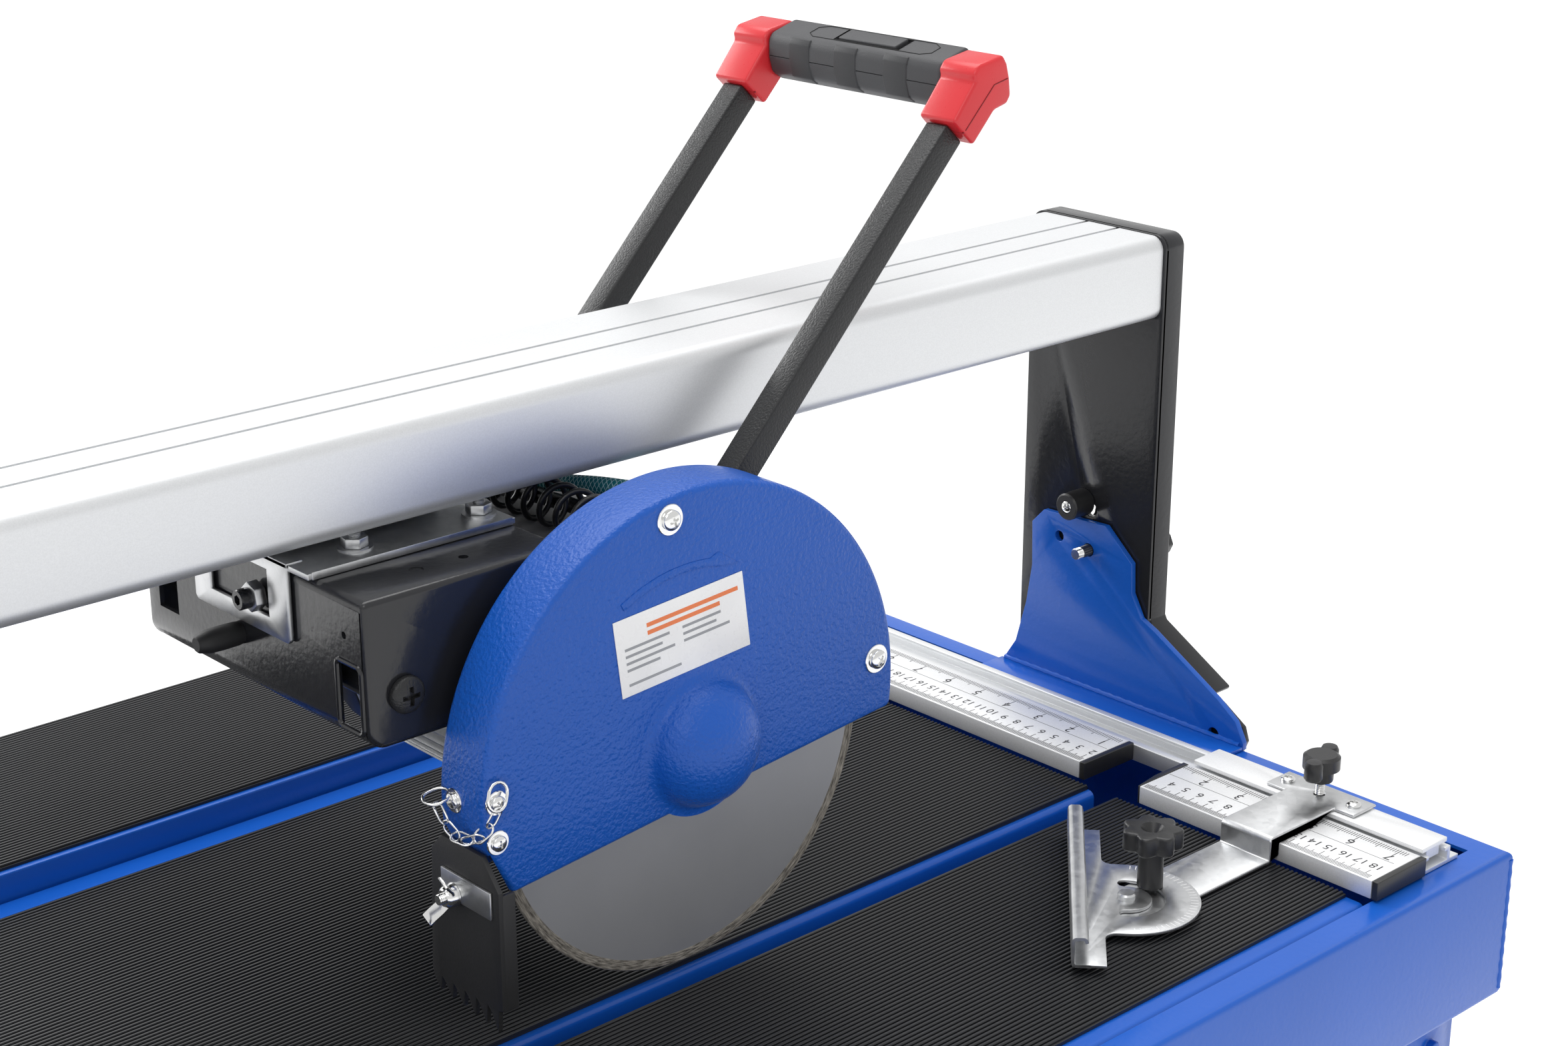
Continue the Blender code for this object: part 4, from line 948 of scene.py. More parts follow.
def make_gauge_knobs():
    """The two-eared knob that clamps the bridge, and the star knob that clamps the fence."""
    centre, reach = THUMB_PLACE, 0.0155
    z = BRIDGE_TOP + 0.0085
    hub = [(0, 0), (0.0068, 0), (0.0072, 0.001), (0.0072, 0.006), (0.0105, 0.0075), (0.0105, 0.0145)]
    hub = turned([(r, z + up) for r, up in hub + [(0.0085, 0.0160), (0, 0.0160)]], centre, "z", 32)
    ears = []
    for turn, more in ((0.35, 0.0), (pi + 0.35, 0.0025)):
        ball = (centre[0] + reach * cos(turn), centre[1] + reach * sin(turn))
        ear = [(0, 0.0055), (0.0042, 0.0060), (0.0052, 0.0075)]
        ear += [(0.0052, 0.0125 + more), (0.0042, 0.0145 + more), (0, 0.0150 + more)]
        ears.append(turned([(r, z + up) for r, up in ear], ball, "z", 24))
        web = [(-0.001, -0.0030), (reach, -0.0030), (reach, 0.0030), (-0.001, 0.0030)]
        web = [
            (centre[0] + u * cos(turn) - v * sin(turn), centre[1] + u * sin(turn) + v * cos(turn))
            for u, v in web
        ]
        ears.append(rounded(prism(web, "z", z + 0.0070, z + 0.0125), 0.0008))
    piece(
        "thumb_knob_skin", joined(hub, *ears), "thumb_knob", "plastic", ["thumb_knob"]
    )
    stem = put(threaded(0.0028, 0.0, 0.0095), (*centre, BRIDGE_TOP))
    piece("thumb_screw_stem", stem, "thumb_knob", "chrome", ())
    centre = (GAUGE_PIN[0] + 0.020, GAUGE_PIN[1] + 0.001)
    low = PLATE_LOW + 0.002 + GAP
    stem = turned([(0, low), (0.0070, low), (0.0066, low + 0.024), (0, low + 0.024)], centre, "z", 32)
    star = rounded(
        prism(lobed(centre, 0.0128, 0.0165, 7, 10, 0.7), "z", low + 0.0225, low + 0.0335), 0.0018, 4
    )
    dish = turned(
        [(0, low + 0.029), (0.003, low + 0.029), (0.0075, low + 0.035), (0, low + 0.035)], centre, "z",
        32,
    )
    well = rod(0.0030, (low + 0.026, low + 0.032), centre, "z", 20)
    piece(
        "gauge_knob_skin", joined(stem, minus(star, dish, well)), "gauge_knob", "plastic",
        ["gauge_knob"],
    )


# ---------------------------------------------------------------- rail and its end plates


BEAM_Y, BEAM_Z = (0.060, 0.160), (TABLE + 0.247, TABLE + 0.297)
BEAM_CORNER, BEAM_WALL, BEAM_HALF = 0.0085, 0.003, 0.6252
BEAM_GROOVES, BEAM_SLOT = (0.119, 0.095), (0.098, 0.122)
END_PLATE_Y, END_PLATE_X = (0.0585, 0.163), (0.6255, 0.6290)
END_PLATE_TOP = TABLE + 0.2975
LOCK_Y, LOCK_UP = 0.104, 0.090


def beam_outline():
    """Section of the beam: a rounded box with two grooves on top and a slot along its underside."""
    (y0, y1), (z0, z1) = BEAM_Y, BEAM_Z
    r, w = BEAM_CORNER, BEAM_WALL
    top = []
    for groove in BEAM_GROOVES:
        bottom = z1 - 0.0026
        top += [
            (groove + 0.0013, z1), (groove + 0.0012, bottom), (groove - 0.0012, bottom),
            (groove - 0.0013, z1),
        ]
    outer = arc_points((y1 - r, z0 + r), r, -90, 0, 8) + arc_points((y1 - r, z1 - r), r, 0, 90, 8) + top
    outer += arc_points((y0 + r, z1 - r), r, 90, 180, 8) + arc_points((y0 + r, z0 + r), r, 180, 270, 8)
    q = r - w
    inner = arc_points((y0 + r, z0 + r), q, 270, 180, 6) + arc_points((y0 + r, z1 - r), q, 180, 90, 6)
    inner += arc_points((y1 - r, z1 - r), q, 90, 0, 6) + arc_points((y1 - r, z0 + r), q, 0, -90, 6)
    front, back = BEAM_SLOT
    return [(back, z0)] + outer + [(front, z0), (front, z0 + w)] + inner + [(back, z0 + w)]


def make_rail():
    piece(
        "rail_beam", prism(beam_outline(), "x", -BEAM_HALF, BEAM_HALF), "rail", "aluminium", ["beam"],
        angle=25,
    )
    for side, sign in (("right", 1), ("left", -1)):
        make_upright(side, sign)
        softened("end_bracket_" + side, 0.0010, "frame", "blue smooth")
        softened("lock_knob_" + side, 0.0016, "knob_" + side, "plastic")
        make_stop(side, sign)
        make_bracket_detail(side, sign)


def make_upright(side, sign):
    """The rail's end plate: a web with its front, top and back edges turned out, an arc slot and a hole."""
    t, top = TABLE, END_PLATE_TOP
    r, thick = BEAM_CORNER, 0.003
    (y0, y1), (near, far) = END_PLATE_Y, END_PLATE_X
    foot = [(-0.0022, t + 0.0215), (-0.018, t + 0.0115), (-0.021, t + 0.003)]
    foot += [(-0.015, t - 0.012), (0.0, t - 0.018), (y1, t - 0.018)]
    rim = arc_points((y1 - r, top - r), r, 0, 90, 8) + arc_points((y0 + r, top - r), r, 90, 180, 8)
    knee = [(y0, t + 0.058), (y0 - 0.0016, t + 0.0550)]
    web = rim + knee + foot
    inside = arc_points((y0 + r, top - r), r - thick, 180, 90, 8) + arc_points(
        (y1 - r, top - r), r - thick, 90, 0, 8
    )
    slope = [(0.0060, t + 0.0262), (0.0075, t + 0.0236)]
    lip = rim + knee + slope + [(y0 + 0.0008, t + 0.0526), (y0 + thick, t + 0.0565)]
    lip += inside + [(y1 - thick, t - 0.015), (y1, t - 0.015)]
    lip = prism(lip, "x", *sorted((sign * (near + 0.0005), sign * (near + 0.0175))))
    plate = prism(web, "x", *sorted((sign * near, sign * far)))
    reach, turn = hypot(LOCK_Y, LOCK_UP), degrees(atan2(LOCK_UP, LOCK_Y))
    slot = [(u, v + t + 0.003) for u, v in slot_strip(reach, 0.0048, turn - 47.5, turn + 2.5)]
    hole = arc_points((0.1075, t + 0.1175), 0.0045, 0, 345, 23)
    span = sorted((sign * (near - 0.01), sign * (far + 0.01)))
    plate = minus(plate, prism(slot, "x", *span), prism(hole, "x", *span))
    both = joined(rounded(plate, 0.0005, 2), rounded(lip, 0.0011, 3, 40))
    piece("rail_end_plate_" + side, both, "rail", "black coat", ["upright_" + side])


def make_stop(side, sign):
    """The tilt stop: a sleeve held to the end plate by a screw."""
    y, z = 0.113, TABLE + 0.1215
    near, far = 0.6085, BEAM_HALF
    sleeve = [(0.0040, near), (0.0075, near), (0.0085, near + 0.001), (0.0085, far), (0.0040, far)]
    sleeve = turned([(r, sign * d) for r, d in sleeve], (y, z), "x", 32, closed=True)
    piece("stop_sleeve_" + side, sleeve, "rail", "plastic", ["mitre_stop_" + side])
    socket = cross_screw(0.0039)
    piece(
        "stop_screw_" + side, put(socket, (sign * 0.6100, y, z), (-sign, 0, 0)), "rail", "chrome", (),
    )


def make_bracket_detail(side, sign):
    """Base flange of the end bracket, its weld dots and the end of the lock stud."""
    t = TABLE
    x = sorted((sign * 0.6005, sign * 0.6206))
    base = rounded(block(x, (-0.0225, 0.173), (t - 0.0007, t + 0.0018)), 0.0006, 2)
    fillet = [(sign * 0.6205, y, t + 0.0022) for y in (-0.020 + 0.19 * k / 60 for k in range(61))]
    bead = tube(fillet, lambda s: 0.0017 + 0.0003 * sin(s * 240), 8)
    piece("bracket_base_" + side, joined(base, bead), "frame", "blue smooth", ())
    stud = put(threaded(0.0037, 0.0, 0.012), (sign * 0.6204, LOCK_Y, t + 0.093), (-sign, 0, 0))
    piece("stud_end_" + side, stud, "knob_" + side, "chrome", ())
    bolt = put(hex_nut(0.013, 0.0055), (sign * 0.6293, 0.0, t + 0.003), (sign, 0, 0))
    piece("mitre_bolt_head_" + side, bolt, "frame", "chrome", ["mitre_bolt_" + side])


# ---------------------------------------------------------------- carriage


BOX_X, BOX_Y, BOX_Z = (0.040, 0.154), (0.022, 0.215), (TABLE + 0.160, TABLE + 0.232)
PIVOT = (0.060, TABLE + 0.184)
STRIP_TOP = BOX_Z[1] + GAP + 0.003
DEPTH_BOLT = (0.106, TABLE + 0.2135)


def round_window(y, z, radius):
    """Outline of an upright rectangle in the YZ plane with round corners."""
    corners = ((y[1] - radius, z[0] + radius), (y[1] - radius, z[1] - radius))
    corners += ((y[0] + radius, z[1] - radius), (y[0] + radius, z[0] + radius))
    return [
        point
        for k, corner in enumerate(corners)
        for point in arc_points(corner, radius, 90 * k - 90, 90 * k, 6)
    ]


def make_box():
    """The carriage box with its windows and holes, the pivot screws and the rubber travel bumper."""
    x, y, z, t = BOX_X, BOX_Y, BOX_Z, 0.0025
    window_y, window_z = (y[0] + 0.0040, y[0] + 0.0235), (z[0] + 0.0075, z[0] + 0.0400)
    r, s = 0.010, 0.0035
    outline = arc_points((x[0] + r, z[0] + r), r, 270, 180, 8) + arc_points(
        (x[0] + s, z[1] - s), s, 180, 90, 5
    )
    outline += [(x[1], z[1]), (x[1], z[0])]
    shell = rounded(prism(outline, "y", *y), 0.0028, 4, 50)
    shell = minus(
        shell,
        block((x[0] + t, x[1] + 0.01), (y[0] + t, y[1] - t), (z[0] - 0.01, z[1] - t)),
        block((x[0] - 0.01, x[0] + 0.008), window_y, window_z),
        rod(0.0018, (x[0] - 0.01, x[0] + 0.01), (y[0] + 0.0163, z[0] + 0.0527), "x", 16),
        block((x[0] - 0.01, x[0] + 0.008), (y[1] - 0.030, y[1] - 0.012), (z[0] + 0.020, z[0] + 0.060)),
        block(
            (x[0] - 0.01, x[0] + 0.0012), (y[0] + 0.0022, y[0] + 0.0032), (z[0] - 0.01, z[1] - 0.005)
        ),
        rod(0.0035, (z[1] - 0.0005, z[1] + 0.01), (0.0832, 0.0426), "z", 20),
        rod(0.0024, (z[1] - 0.004, z[1] + 0.01), (0.1088, 0.0417), "z", 20),
    )
    loop = [(x[0] + 0.0002, v, w) for v, w in round_window(window_y, window_z, 0.003)]
    lip = tube(loop, 0.0014, 8, closed=True)
    piece(
        "carriage_housing", joined(shell, lip), "carriage", "black coat", ["carriage_box"],
    )
    large = cross_screw(0.0090)
    ends = ((y[0] - 0.0003, -1), (y[1] + 0.0003, 1))
    screws = [put(large, (PIVOT[0], end, PIVOT[1]), (0, way, 0)) for end, way in ends]
    shank = rod(0.006, y, PIVOT, "y", 24)
    piece(
        "pivot_screws", joined(shank, *screws), "carriage", "hammer black", ["plunge_pin"],
    )
    nose = [(0, -0.002), (0.0052, -0.002), (0.0058, 0.002), (0.0060, 0.010), (0.0058, 0.017)]
    nose += [(0.0044, 0.0226), (0.0034, 0.0236), (0, 0.0236)]
    bumper = put(turned(nose, (0, 0), "z", 28), (x[0], 0.1285, z[0] + 0.0275), (-1, 0, 0))
    piece("travel_bumper", bumper, "carriage", "rubber", ())


def make_strip():
    """The plated strip that carries the rollers, its bolts, and the corner bracket of the depth bolt."""
    softened("carriage_plate", 0.0006, "carriage", "zinc")
    top, t = STRIP_TOP, TABLE
    edge = [(0.062, top - 0.003), (0.0612, top - 0.003), (0.0612, top + 0.0008), (0.062, top + 0.0008)]
    curb = rounded(prism(edge, "x", 0.040, 0.152), 0.0003, 2)
    nut = hex_nut(0.0115, 0.0050, 0.0085, 0.0022)
    nuts = [put(nut, (x, 0.0775, top), (0, 0, 1), 0.3) for x in (0.0735, 0.1440)]
    x = BOX_X[0]
    front, back = 0.0785, 0.1620
    wall = [(front, t + 0.236), (back, t + 0.236), (back, t + 0.1985)]
    wall += [(back - 0.002, t + 0.1965), (front + 0.002, t + 0.1965), (front, t + 0.1985)]
    hole = block((x - 0.01, x + 0.01), (0.0960, 0.1470), (t + 0.2055, t + 0.2290))
    hanger = rounded(minus(prism(wall, "x", x - 0.0030, x - 0.0008), hole), 0.0006, 2)
    shelf = rounded(block((x - 0.0030, x + 0.006), (front, back), (t + 0.2335, t + 0.2362)), 0.0006, 2)
    lock = put(hex_nut(0.013, 0.0060), (x - 0.0012, *DEPTH_BOLT), (-1, 0, 0), 0.2)
    piece(
        "strip_hardware", joined(curb, hanger, shelf, lock, *nuts), "carriage", "zinc", ()
    )
    cap = [(0, 0), (0.0046, 0), (0.0050, 0.0006), (0.0050, 0.0056), (0.0044, 0.0062), (0, 0.0062)]
    head = turned(cap, (0, 0), "z", 28)
    hexagon = prism(
        [(0.0026 * cos(pi / 3 * k), 0.0026 * sin(pi / 3 * k)) for k in range(6)], "z", 0.003, 0.02
    )
    cap = joined(minus(head, hexagon), threaded(0.0030, -0.012, 0.0))
    piece(
        "depth_bolt", put(cap, (x - 0.0070, *DEPTH_BOLT), (-1, 0, 0)), "carriage", "black coat", (),
    )
    for side in ("left", "right"):
        softened("roller_" + side, 0.0008, "roller_" + side, "steel")


# ---------------------------------------------------------------- head: motor, guard, blade


GUARD_C, GUARD_R = (0.199, TABLE + 0.132), 0.129
GUARD_Y, GUARD_SHEET = (-0.020, 0.014), 0.002
BOSS_REACH, BOSS_HEIGHT, BOSS_FLARE = 0.0345, 0.0245, 0.006
MOTOR_Y, MOTOR_FINS = (0.0175, 0.200), 46
BLADE_HALF, RIM_HALF = 0.0009, 0.0012


def make_arm_and_motor():
    """The head's arm, the finned motor, its end cap and the terminal box on top."""
    softened("head_arm", 0.0010, "head", "black coat")
    softened("terminal_box", 0.0030, "head", "grey", 4)
    softened("motor_cap", 0.0020, "head", "plastic")
    y0, y1 = MOTOR_Y
    outside = [
        (0.0106, y0), (0.040, y0), (0.0575, y0 + 0.006), (0.0580, y0 + 0.016), (0.0560, y0 + 0.018)
    ]
    outside += [(0.0560, y1 - 0.014), (0.0600, y1 - 0.012), (0.0600, y1), (0, y1)]
    inside = [(0, y1 - 0.007), (0.040, y1 - 0.007), (0.040, y0 + 0.009), (0.0106, y0 + 0.009)]
    body = turned(outside + inside, SPINDLE, "y", 64, closed=True)
    rib = [(0.0550, -0.0009), (0.0608, -0.0006), (0.0608, 0.0006), (0.0550, 0.0009)]
    fin = prism([(SPINDLE[0] + u, SPINDLE[1] + v) for u, v in rib], "y", y0 + 0.018, y1 - 0.013)
    centre = (SPINDLE[0], 0, SPINDLE[1])
    fins = repeated(fin, MOTOR_FINS, "cast", turn=(0, 2 * pi / MOTOR_FINS, 0), centre=centre)
    piece("motor_case", joined(body, fins), "head", "cast", ["motor_housing"])
    softened("rotor", 0.0005, "spindle", "steel", 2)
    small = cross_screw(0.0030)
    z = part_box("terminal_box")[1].z
    lids = [put(small, (x, y, z), (0, 0, 1), 0.5) for x in (0.178, 0.234) for y in (0.068, 0.162)]
    piece("terminal_screws", joined(*lids), "head", "chrome", ())


def make_blade():
    """The steel disc and the wider rim of grit that is fused to its edge."""
    t, h = BLADE_HALF, RIM_HALF
    core = [(0.0127, -t), (0.1100, -t), (0.1100, t), (0.0127, t)]
    piece(
        "blade_core", turned(core, SPINDLE, "y", 128, closed=True), "spindle", "blade", ["blade"],
    )
    rim = [(0.1094, -t), (0.1099, -h), (0.1144, -h), (0.1150, -h * 0.6)]
    rim += [(r, -y) for r, y in rim[::-1]]
    piece("blade_rim", turned(rim, SPINDLE, "y", 160, closed=True), "spindle", "grit", ())
    softened("arbor_nut", 0.0006, "spindle", "zinc", 2)


def guard_outline(inset, drop=0.0):
    """The guard's side: an arc closed by its sloping lower edge, or carried on down by a drop."""
    r = GUARD_R - inset
    right_z, heel = TABLE + 0.1137, (0.085, TABLE + 0.090)
    right = degrees(asin((right_z - GUARD_C[1]) / GUARD_R))
    points = arc_points(GUARD_C, r, right, 185, 96)
    if drop:
        return points + [(heel[0] + inset, heel[1] - drop), (points[0][0], points[0][1] - drop)]
    return points + [heel]


def guard_boss(y0):
    """The hollow dome pressed out of the guard's face, flared where it meets the face."""
    reach, height = BOSS_REACH, BOSS_HEIGHT
    dome = []
    for k in range(15):
        a = radians(90 - 78 * k / 14)
        dome.append((reach * 0.93 * cos(a), y0 - height + height * 1.05 * (1 - sin(a))))
    start, rise = dome[-1]
    skirt = []
    for s in (0.25, 0.5, 0.75, 1.0):
        out = start + (reach - start) * s + BOSS_FLARE * s * s * 0.5
        skirt.append((out, rise + (y0 - rise) * (1 - (1 - s) ** 2)))
    profile = [(0, y0 - height)] + dome[1:] + skirt
    outer = profile + [(profile[-1][0], y0 + 0.0012), (profile[-1][0] - 0.004, y0 + 0.0012)]
    inner = [(max(r - 0.002, 0), y + 0.0018) for r, y in reversed(profile[:-1])]
    return turned(outer + inner[:-1] + [(0, y0 - height + 0.0018)], GUARD_C, "y", 64)


def turn_arrow(y0):
    """The raised arrow that shows which way the blade turns."""
    centre = (GUARD_C[0] - 0.006, GUARD_C[1] + 0.004)

    def spot(r, a):
        return (centre[0] + r * cos(radians(a)), centre[1] + r * sin(radians(a)))

    upper, lower = ([spot(r, a) for a in range(118, 79, -3)] for r in (0.0890, 0.0850))
    point = [spot(0.0920, 79), spot(0.0870, 70), spot(0.0845, 79)]
    return rounded(prism(upper + point + lower[::-1], "y", y0 - 0.0005, y0 + 0.0005), 0.0004, 2, 40)


def make_guard():
    y0, y1 = GUARD_Y
    sheet = GUARD_SHEET
    shell = rounded(prism(guard_outline(0), "y", y0, y1), 0.0034, 5, 50)
    shell = minus(shell, prism(guard_outline(sheet, 0.03), "y", y0 + sheet, y1 - sheet))
    shell = minus(shell, rod(0.033, (y1 - 0.01, y1 + 0.01), SPINDLE, "y", 40))
    pressed = joined(shell, guard_boss(y0), turn_arrow(y0))
    piece("guard_shell", pressed, "head", "blue", ["blade_guard"], angle=40)
    make_guard_plate(y0)
    make_guard_screws(y0)


def make_guard_plate(y0):
    """The blank rating plate, slightly turned, with a few plain printed bars."""
    origin = Vector((0.151, TABLE + 0.168))
    across = Vector((0.230, TABLE + 0.174)) - origin
    up = Vector((0.146, TABLE + 0.207)) - origin

    def spot(u, v):
        return tuple(origin + across * u + up * v)

    def bar(u, v, thick):
        return prism(
            [spot(u[0], v[0]), spot(u[1], v[0]), spot(u[1], v[1]), spot(u[0], v[1])], "y", y0 - thick,
            y0 - 0.00010,
        )

    sheet = rounded(bar((0, 1), (0, 1), 0.00055), 0.0002, 2)
    piece("rating_plate", sheet, "head", "plate white", ())
    columns = {
        0.06: ((0.34, 0.58), (0.28, 0.49), (0.37, 0.40), (0.25, 0.31), (0.40, 0.12)),
        0.50: ((0.30, 0.58), (0.26, 0.49), (0.36, 0.40)),
    }
    ink = 0.00060
    rows = [bar((u, u + w), (v, v + 0.035), ink) for u, column in columns.items() for w, v in column]
    piece("plate_bars_grey", joined(*rows), "head", "bar grey", ())
    lines = [bar((0.24, 0.95), (0.78, 0.835), ink), bar((0.24, 0.80), (0.68, 0.735), ink)]
    piece("plate_bars_orange", joined(*lines), "head", "bar orange", ())


def make_guard_screws(y0):
    large, small = cross_screw(0.0050, 0.0076, 0.0010), cross_screw(0.0039, 0.0059, 0.0010)
    spots = [(large, 0.181, 0.249, 0.3), (large, 0.315, 0.143, 0.9)]
    spots += [(small, 0.0773, 0.1193, 0.2), (small, 0.0773, 0.1390, 0.6)]
    heads = [put(screw, (x, y0, TABLE + up), (0, -1, 0), roll) for screw, x, up, roll in spots]
    heads.append(put(small, (0.0702, 0.0016, TABLE + 0.1350), (-1, 0, 0.02), 0.4))
    piece("guard_screws", joined(*heads), "head", "chrome", ())
    make_chain(y0)


def link_mesh(length, width, wire):
    """One oval chain link, lying in the XY plane."""
    half, r = (length - width) / 2, width / 2
    path = [(half + r * cos(a), r * sin(a), 0) for a in (radians(-90 + 22.5 * k) for k in range(9))]
    path += [(-x, -y, 0) for x, y, _ in path]
    return tube(path, wire, 7, closed=True)


def make_chain(y0):
    """Welded chain that hangs in a loop between the rim screw and a face screw."""
    start = Vector((0.0630, 0.0065, TABLE + 0.1345))
    end = Vector((0.0765, y0 - 0.0040, TABLE + 0.1385))
    link = link_mesh(0.0112, 0.0064, 0.00055)
    count, sag = 6, Vector((0.004, 0.0045, 0.0150))

    def hung(s):
        swing = sin(pi * s)
        return start.lerp(end, s) - Vector(
            (sag.x * swing, sag.y * swing, sag.z * (1 - (2 * s - 1) ** 2) ** 0.8)
        )

    parts = []
    for k in range(count):
        near, far = hung(k / count), hung((k + 1) / count)
        turn = Vector((1, 0, 0)).rotation_difference((far - near).normalized()).to_matrix().to_4x4()
        roll = Matrix.Rotation(radians(90 * (k % 2) + 25), 4, "X")
        parts.append(moved(link, Matrix.Translation((near + far) / 2) @ turn @ roll))
    loop = link_mesh(0.0135, 0.0100, 0.0008)
    rings = (
        ((0.0635, 0.0060, TABLE + 0.1375), 12, ("Y", -8)),
        ((0.0760, y0 - 0.0035, TABLE + 0.1435), 80, ("Z", 70)),
    )
    for place, tilt, (axis, turn) in rings:
        lean = Matrix.Rotation(radians(tilt), 4, "X") @ Matrix.Rotation(radians(turn), 4, axis)
        parts.append(moved(loop, Matrix.Translation(place) @ lean))
    piece("guard_chain", joined(*parts), "head", "chrome", (), angle=60)


FLAP_X, FLAP_Y, FLAP_TEETH = (0.0706, 0.0733), (-0.0285, 0.0268), 6


def make_flap():
    """The toothed splash flap with its turned-in side, and the plate and wing nut that clamp it."""
    t, (x0, x1), (y0, y1) = TABLE, FLAP_X, FLAP_Y
    outline = [
        (y0, t + 0.0985), (-0.0165, t + 0.1130), (0.0145, t + 0.1130), (0.0228, t + 0.1045),
        (y1, t + 0.0400),
    ]
    wide = (y1 - y0 - 0.002) / FLAP_TEETH
    for k in range(FLAP_TEETH):
        tip = y1 - (k + 0.75) * wide
        outline += [
            (tip + wide * 0.55, t + 0.0350), (tip, t + 0.0300 - 0.0008 * k),
            (tip - wide * 0.12, t + 0.0375),
        ]
    outline.append((y0, t + 0.0385))
    sheet = rounded(prism(outline, "x", x0, x1), 0.0005, 2, 40)
    side = [
        (x1 - 0.0022, y0), (x1 + 0.0072, y0 + 0.0004), (x1 + 0.0072, y0 + 0.0028),
        (x1 - 0.0005, y0 + 0.0026),
    ]
    wing = rounded(prism(side, "z", t + 0.0375, t + 0.0965), 0.0008, 3, 50)
    piece("flap_rubber", joined(sheet, wing), "flap", "rubber", ["splash_flap"])
    z = t + 0.087
    plate = rounded(
        block((x0 - 0.0016, x0 - 0.0002), (-0.0240, 0.0140), (z - 0.0030, z + 0.0108)), 0.0004, 2
    )
    piece("flap_plate", plate, "flap", "zinc", ())
    hub = turned([(0, 0), (0.0058, 0), (0.0050, 0.005), (0.0040, 0.0062), (0, 0.0062)], (0, 0), "z", 24)
    stud = threaded(0.0027, 0.0, 0.0094)
    wings = []
    for turn in (0, pi):
        path = [(0.0045, 0.0025), (0.0080, 0.0045), (0.0120, 0.0080), (0.0148, 0.0100)]
        strip = rounded(folded_strip(path, 0.0016, (-0.0036, 0.0036)), 0.0006, 2)
        wings.append(moved(strip, Matrix.Rotation(turn, 4, "Z")))
    nut = joined(hub, stud, *wings)
    piece(
        "wing_nut_skin", put(nut, (x0 - 0.0017, 0.004, z), (-1, 0, 0), 1.05), "wing_nut", "chrome",
        ["wing_nut"],
    )


# ---------------------------------------------------------------- handle


GRIP = (0.432, TABLE + 0.414)
LEAN, GRIP_TILT = radians(46.6), radians(17.4)
CORNER_Y = {"front": (0.0175, 0.0432), "rear": (0.1758, 0.2025)}
GRIP_Y, LEVER_Y, PANEL_Y = (0.0435, 0.1755), (0.0800, 0.1290), (0.0580, 0.1500)
PAD_SPANS = ((0.0678, 0.0857), (0.1060, 0.1230), (0.1420, 0.1580))
GRIP_SECTION = (
    (-0.0130, 0.0065), (-0.0130, -0.0030), (-0.0105, -0.0115), (-0.0035, -0.0160), (0.0070, -0.0155)
)
GRIP_BACK = ((0.0130, -0.0105), (0.0150, -0.0010), (0.0130, 0.0095))


def along_arm(u, v):
    """A point of the arm's own frame: u along the arm from the grip's middle, v across it."""
    return (GRIP[0] + u * cos(LEAN) + v * sin(LEAN), GRIP[1] + u * sin(LEAN) - v * cos(LEAN))


def on_grip(s, h):
    """A point on the grip's sloping top face: s back from its front edge and h above it."""
    tilt = GRIP_TILT
    x, z = GRIP[0] - 0.0107, GRIP[1] + 0.0103
    return (x + s * cos(tilt) - h * sin(tilt), z + s * sin(tilt) + h * cos(tilt))


def make_handle():
    for side in ("front", "rear"):
        softened("handle_tube_" + side, 0.0014, "head", "hammer black", 3)
    body = [
        (-0.0308, -0.0108), (-0.0308, 0.0096), (-0.0085, 0.0096), (-0.0005, 0.0149), (0.0043, 0.0138),
        (0.0101, 0.0067),
    ]
    body += [
        (0.0141, 0.0), (0.0154, -0.0056), (0.0006, -0.0165), (-0.0051, -0.0161), (-0.0071, -0.0125)
    ]
    outline = [along_arm(u, v) for u, v in body]
    for side, y in CORNER_Y.items():
        outer = y[0] if side == "front" else y[1]
        main = rounded(prism(outline, "y", *y), 0.0022, 4, 18)
        piece(
            "red_corner_" + side, main, "head", "red", ["handle_corner_" + side],
            angle=60,
        )
        path = [(-0.0290, -0.0010), (0.0002, -0.0005), (0.0085, 0.0052)]
        seam = [(x, outer, z) for x, z in (along_arm(u, v) for u, v in path)]
        x, z = along_arm(-0.0305, -0.0010)
        under = [(x, y[0] + (y[1] - y[0]) * k / 4, z) for k in range(5)]
        lines = joined(tube(seam, 0.00035, 6), tube(under, 0.00035, 6))
        piece("corner_seam_" + side, lines, "head", "red seam", ())
    make_grip()


def grip_line(corners, radius):
    """A thin closed line of painted shade on the grip's sloping face through (s, y) corners."""
    points = []
    for s, y in corners:
        x, z = on_grip(s, 0.00005)
        points.append((x, y, z))
    return tube(points, radius, 6, closed=True)


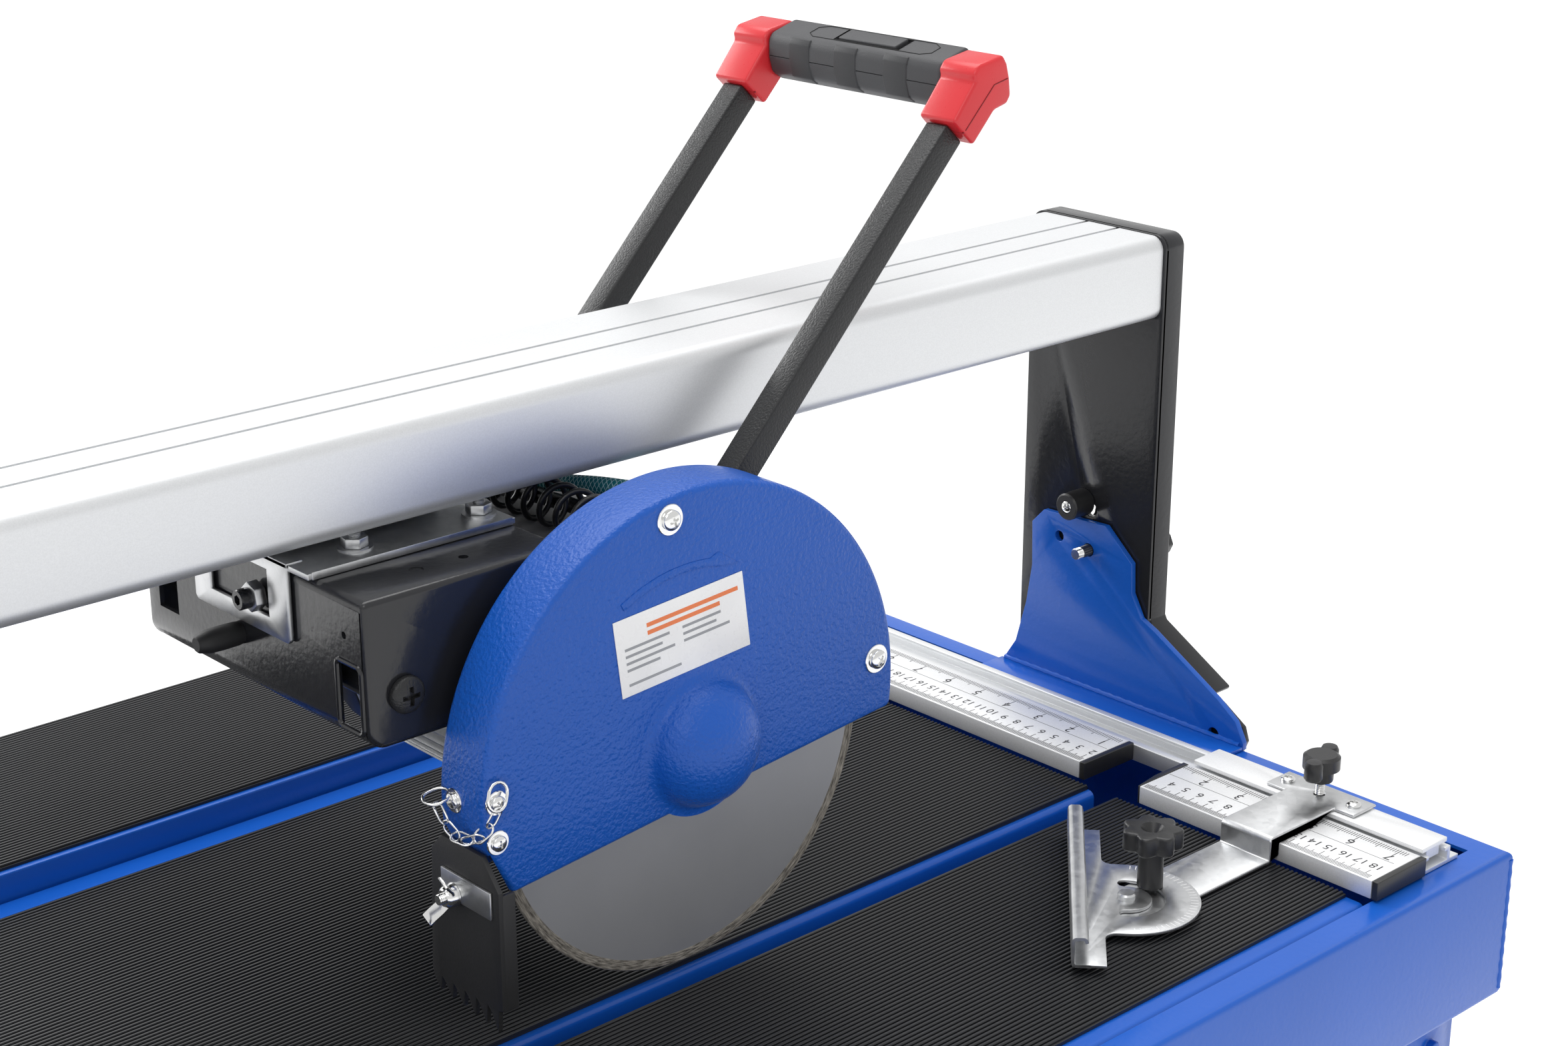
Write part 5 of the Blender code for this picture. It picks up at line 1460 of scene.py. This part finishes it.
def make_grip():
    """The rubber grip: knurled pads, a seam, and the switch lever in its pocket in a panel on top, both
    outlined by lines of painted shade.
    """
    (y0, y1), (x, z) = GRIP_Y, GRIP
    outline = [on_grip(0.0190, 0), on_grip(0, 0)] + [
        (x + u, z + v) for u, v in GRIP_SECTION + GRIP_BACK
    ]
    body = rounded(prism(outline, "y", y0, y1), 0.0026, 4, 18)
    near, far = 0.0038, 0.0160
    pocket = [on_grip(s, h) for s, h in ((near, 0.004), (far, 0.004), (far, -0.0075), (near, -0.0075))]
    pocket = prism(pocket, "y", *LEVER_Y)
    seam = block((x - 0.02, x - 0.0122), (y0 - 0.01, y1 + 0.01), (z - 0.0022, z - 0.0017))
    piece("grip_rubber", minus(body, pocket, seam), "head", "grip", ["grip"], angle=45)
    front = [
        (-0.0118, 0.0098), (-0.0134, 0.0066), (-0.0134, -0.0031), (-0.0109, -0.0118), (-0.0060, -0.0150)
    ]
    back = [
        (-0.0050, -0.0130), (-0.0095, -0.0100), (-0.0115, -0.0030), (-0.0115, 0.0060), (-0.0095, 0.0092)
    ]
    shell = [(x + u, z + v) for u, v in front + back]
    pads = [rounded(prism(shell, "y", *span), 0.0008, 3, 18) for span in PAD_SPANS]
    piece("grip_pads", joined(*pads), "head", "knurl", (), angle=45)
    low, high = PANEL_Y
    panel = [(0.0030, high - 0.005), (0.0060, high), (0.0130, high), (0.0165, high - 0.006)]
    panel += [(0.0165, low + 0.006), (0.0130, low), (0.0060, low), (0.0030, low + 0.006)]
    rocker = [(near, LEVER_Y[1]), (far, LEVER_Y[1]), (far, LEVER_Y[0]), (near, LEVER_Y[0])]
    # painted shade: dark lines round the panel and the lever stand in for the shadow in their seams
    lines = joined(grip_line(panel, 0.00028), grip_line(rocker, 0.00025))
    piece("grip_seam_shadow_lines", lines, "head", "line", ())
    softened("switch_lever", 0.0007, "lever", "grip")


# ---------------------------------------------------------------- cords and hose


def smooth_path(knots, count):
    """Catmull-Rom points through the knots."""
    knots = [Vector(k) for k in knots]
    points = []
    spans = len(knots) - 1
    for k in range(count):
        s = spans * k / (count - 1)
        n = min(int(s), spans - 1)
        t = s - n
        a, b = knots[max(n - 1, 0)], knots[n]
        c, d = knots[n + 1], knots[min(n + 2, spans)]
        points.append(
            0.5 * (
                2 * b + (c - a) * t + (2 * a - 5 * b + 4 * c - d) * t * t + (
                    3 * b - a - 3 * c + d
                ) * t**3
            )
        )
    return points


COIL_AXIS, COIL_Y = (0.194, TABLE + 0.2275), (0.050, 0.146)
COIL_RADIUS, COIL_TURNS, CORD_RADIUS = 0.0108, 7.5, 0.0016
HOSE_RADIUS, LEAD_RADIUS = 0.0046, 0.0040


def make_cords():
    """The coiled switch cord, the braided water hose and the motor lead, all held by the head."""
    per, t = 26, TABLE
    steps = int(COIL_TURNS * per)
    coil = []
    for k in range(steps + 1):
        a = 2 * pi * k / per
        y = COIL_Y[0] + (COIL_Y[1] - COIL_Y[0]) * k / (COIL_TURNS * per)
        coil.append((COIL_AXIS[0] + COIL_RADIUS * cos(a), y, COIL_AXIS[1] + COIL_RADIUS * sin(a)))
    coil = tube(coil, CORD_RADIUS, 9)
    piece("switch_cord_coil", coil, "head", "cord", ["curly_cord"], angle=70)
    hose = [(0.250, 0.050, t + 0.226), (0.225, 0.082, t + 0.230), (0.214, 0.120, t + 0.226)]
    hose += [(0.216, 0.165, t + 0.222), (0.226, 0.188, t + 0.214)]
    hose = tube(smooth_path(hose, 60), HOSE_RADIUS, 14, uv=True)
    piece("water_hose", hose, "head", "hose", (), angle=70)
    lead = [(0.236, 0.045, t + 0.2165), (0.214, 0.076, t + 0.2205), (0.206, 0.130, t + 0.2200)]
    lead = tube(smooth_path(lead + [(0.206, 0.175, t + 0.2120)], 50), LEAD_RADIUS, 12)
    piece("motor_lead", lead, "head", "cord", (), angle=70)


# ---------------------------------------------------------------- legs


def make_legs():
    for side in ("right", "left"):
        softened("leg_hanger_" + side, 0.0008, "frame", "blue smooth", 2)
        softened("leg_frame_" + side, 0.0022, "legs_" + side, "blue smooth", 3)
        for end in ("front", "rear"):
            softened("foot_%s_%s" % (side, end), 0.0020, "legs_" + side, "foot", 3)
    softened("drain_plug", 0.0012, "drain_plug", "plastic")


def make_floor():
    mesh = block((-60, 60), (-60, 60), (-0.02, -0.0006))
    mesh.materials.append(finishes["floor"].material)
    floor = bpy.data.objects.new("studio_floor", mesh)
    bpy.context.scene.collection.objects.link(floor)


def main():
    make_camera()
    make_finishes()
    make_studio()
    make_cords()
    make_floor()
    make_tub()
    make_plates()
    make_rulers()
    make_gauge()
    make_rail()
    make_box()
    make_strip()
    make_arm_and_motor()
    make_blade()
    make_guard()
    make_flap()
    make_handle()
    make_legs()


main()
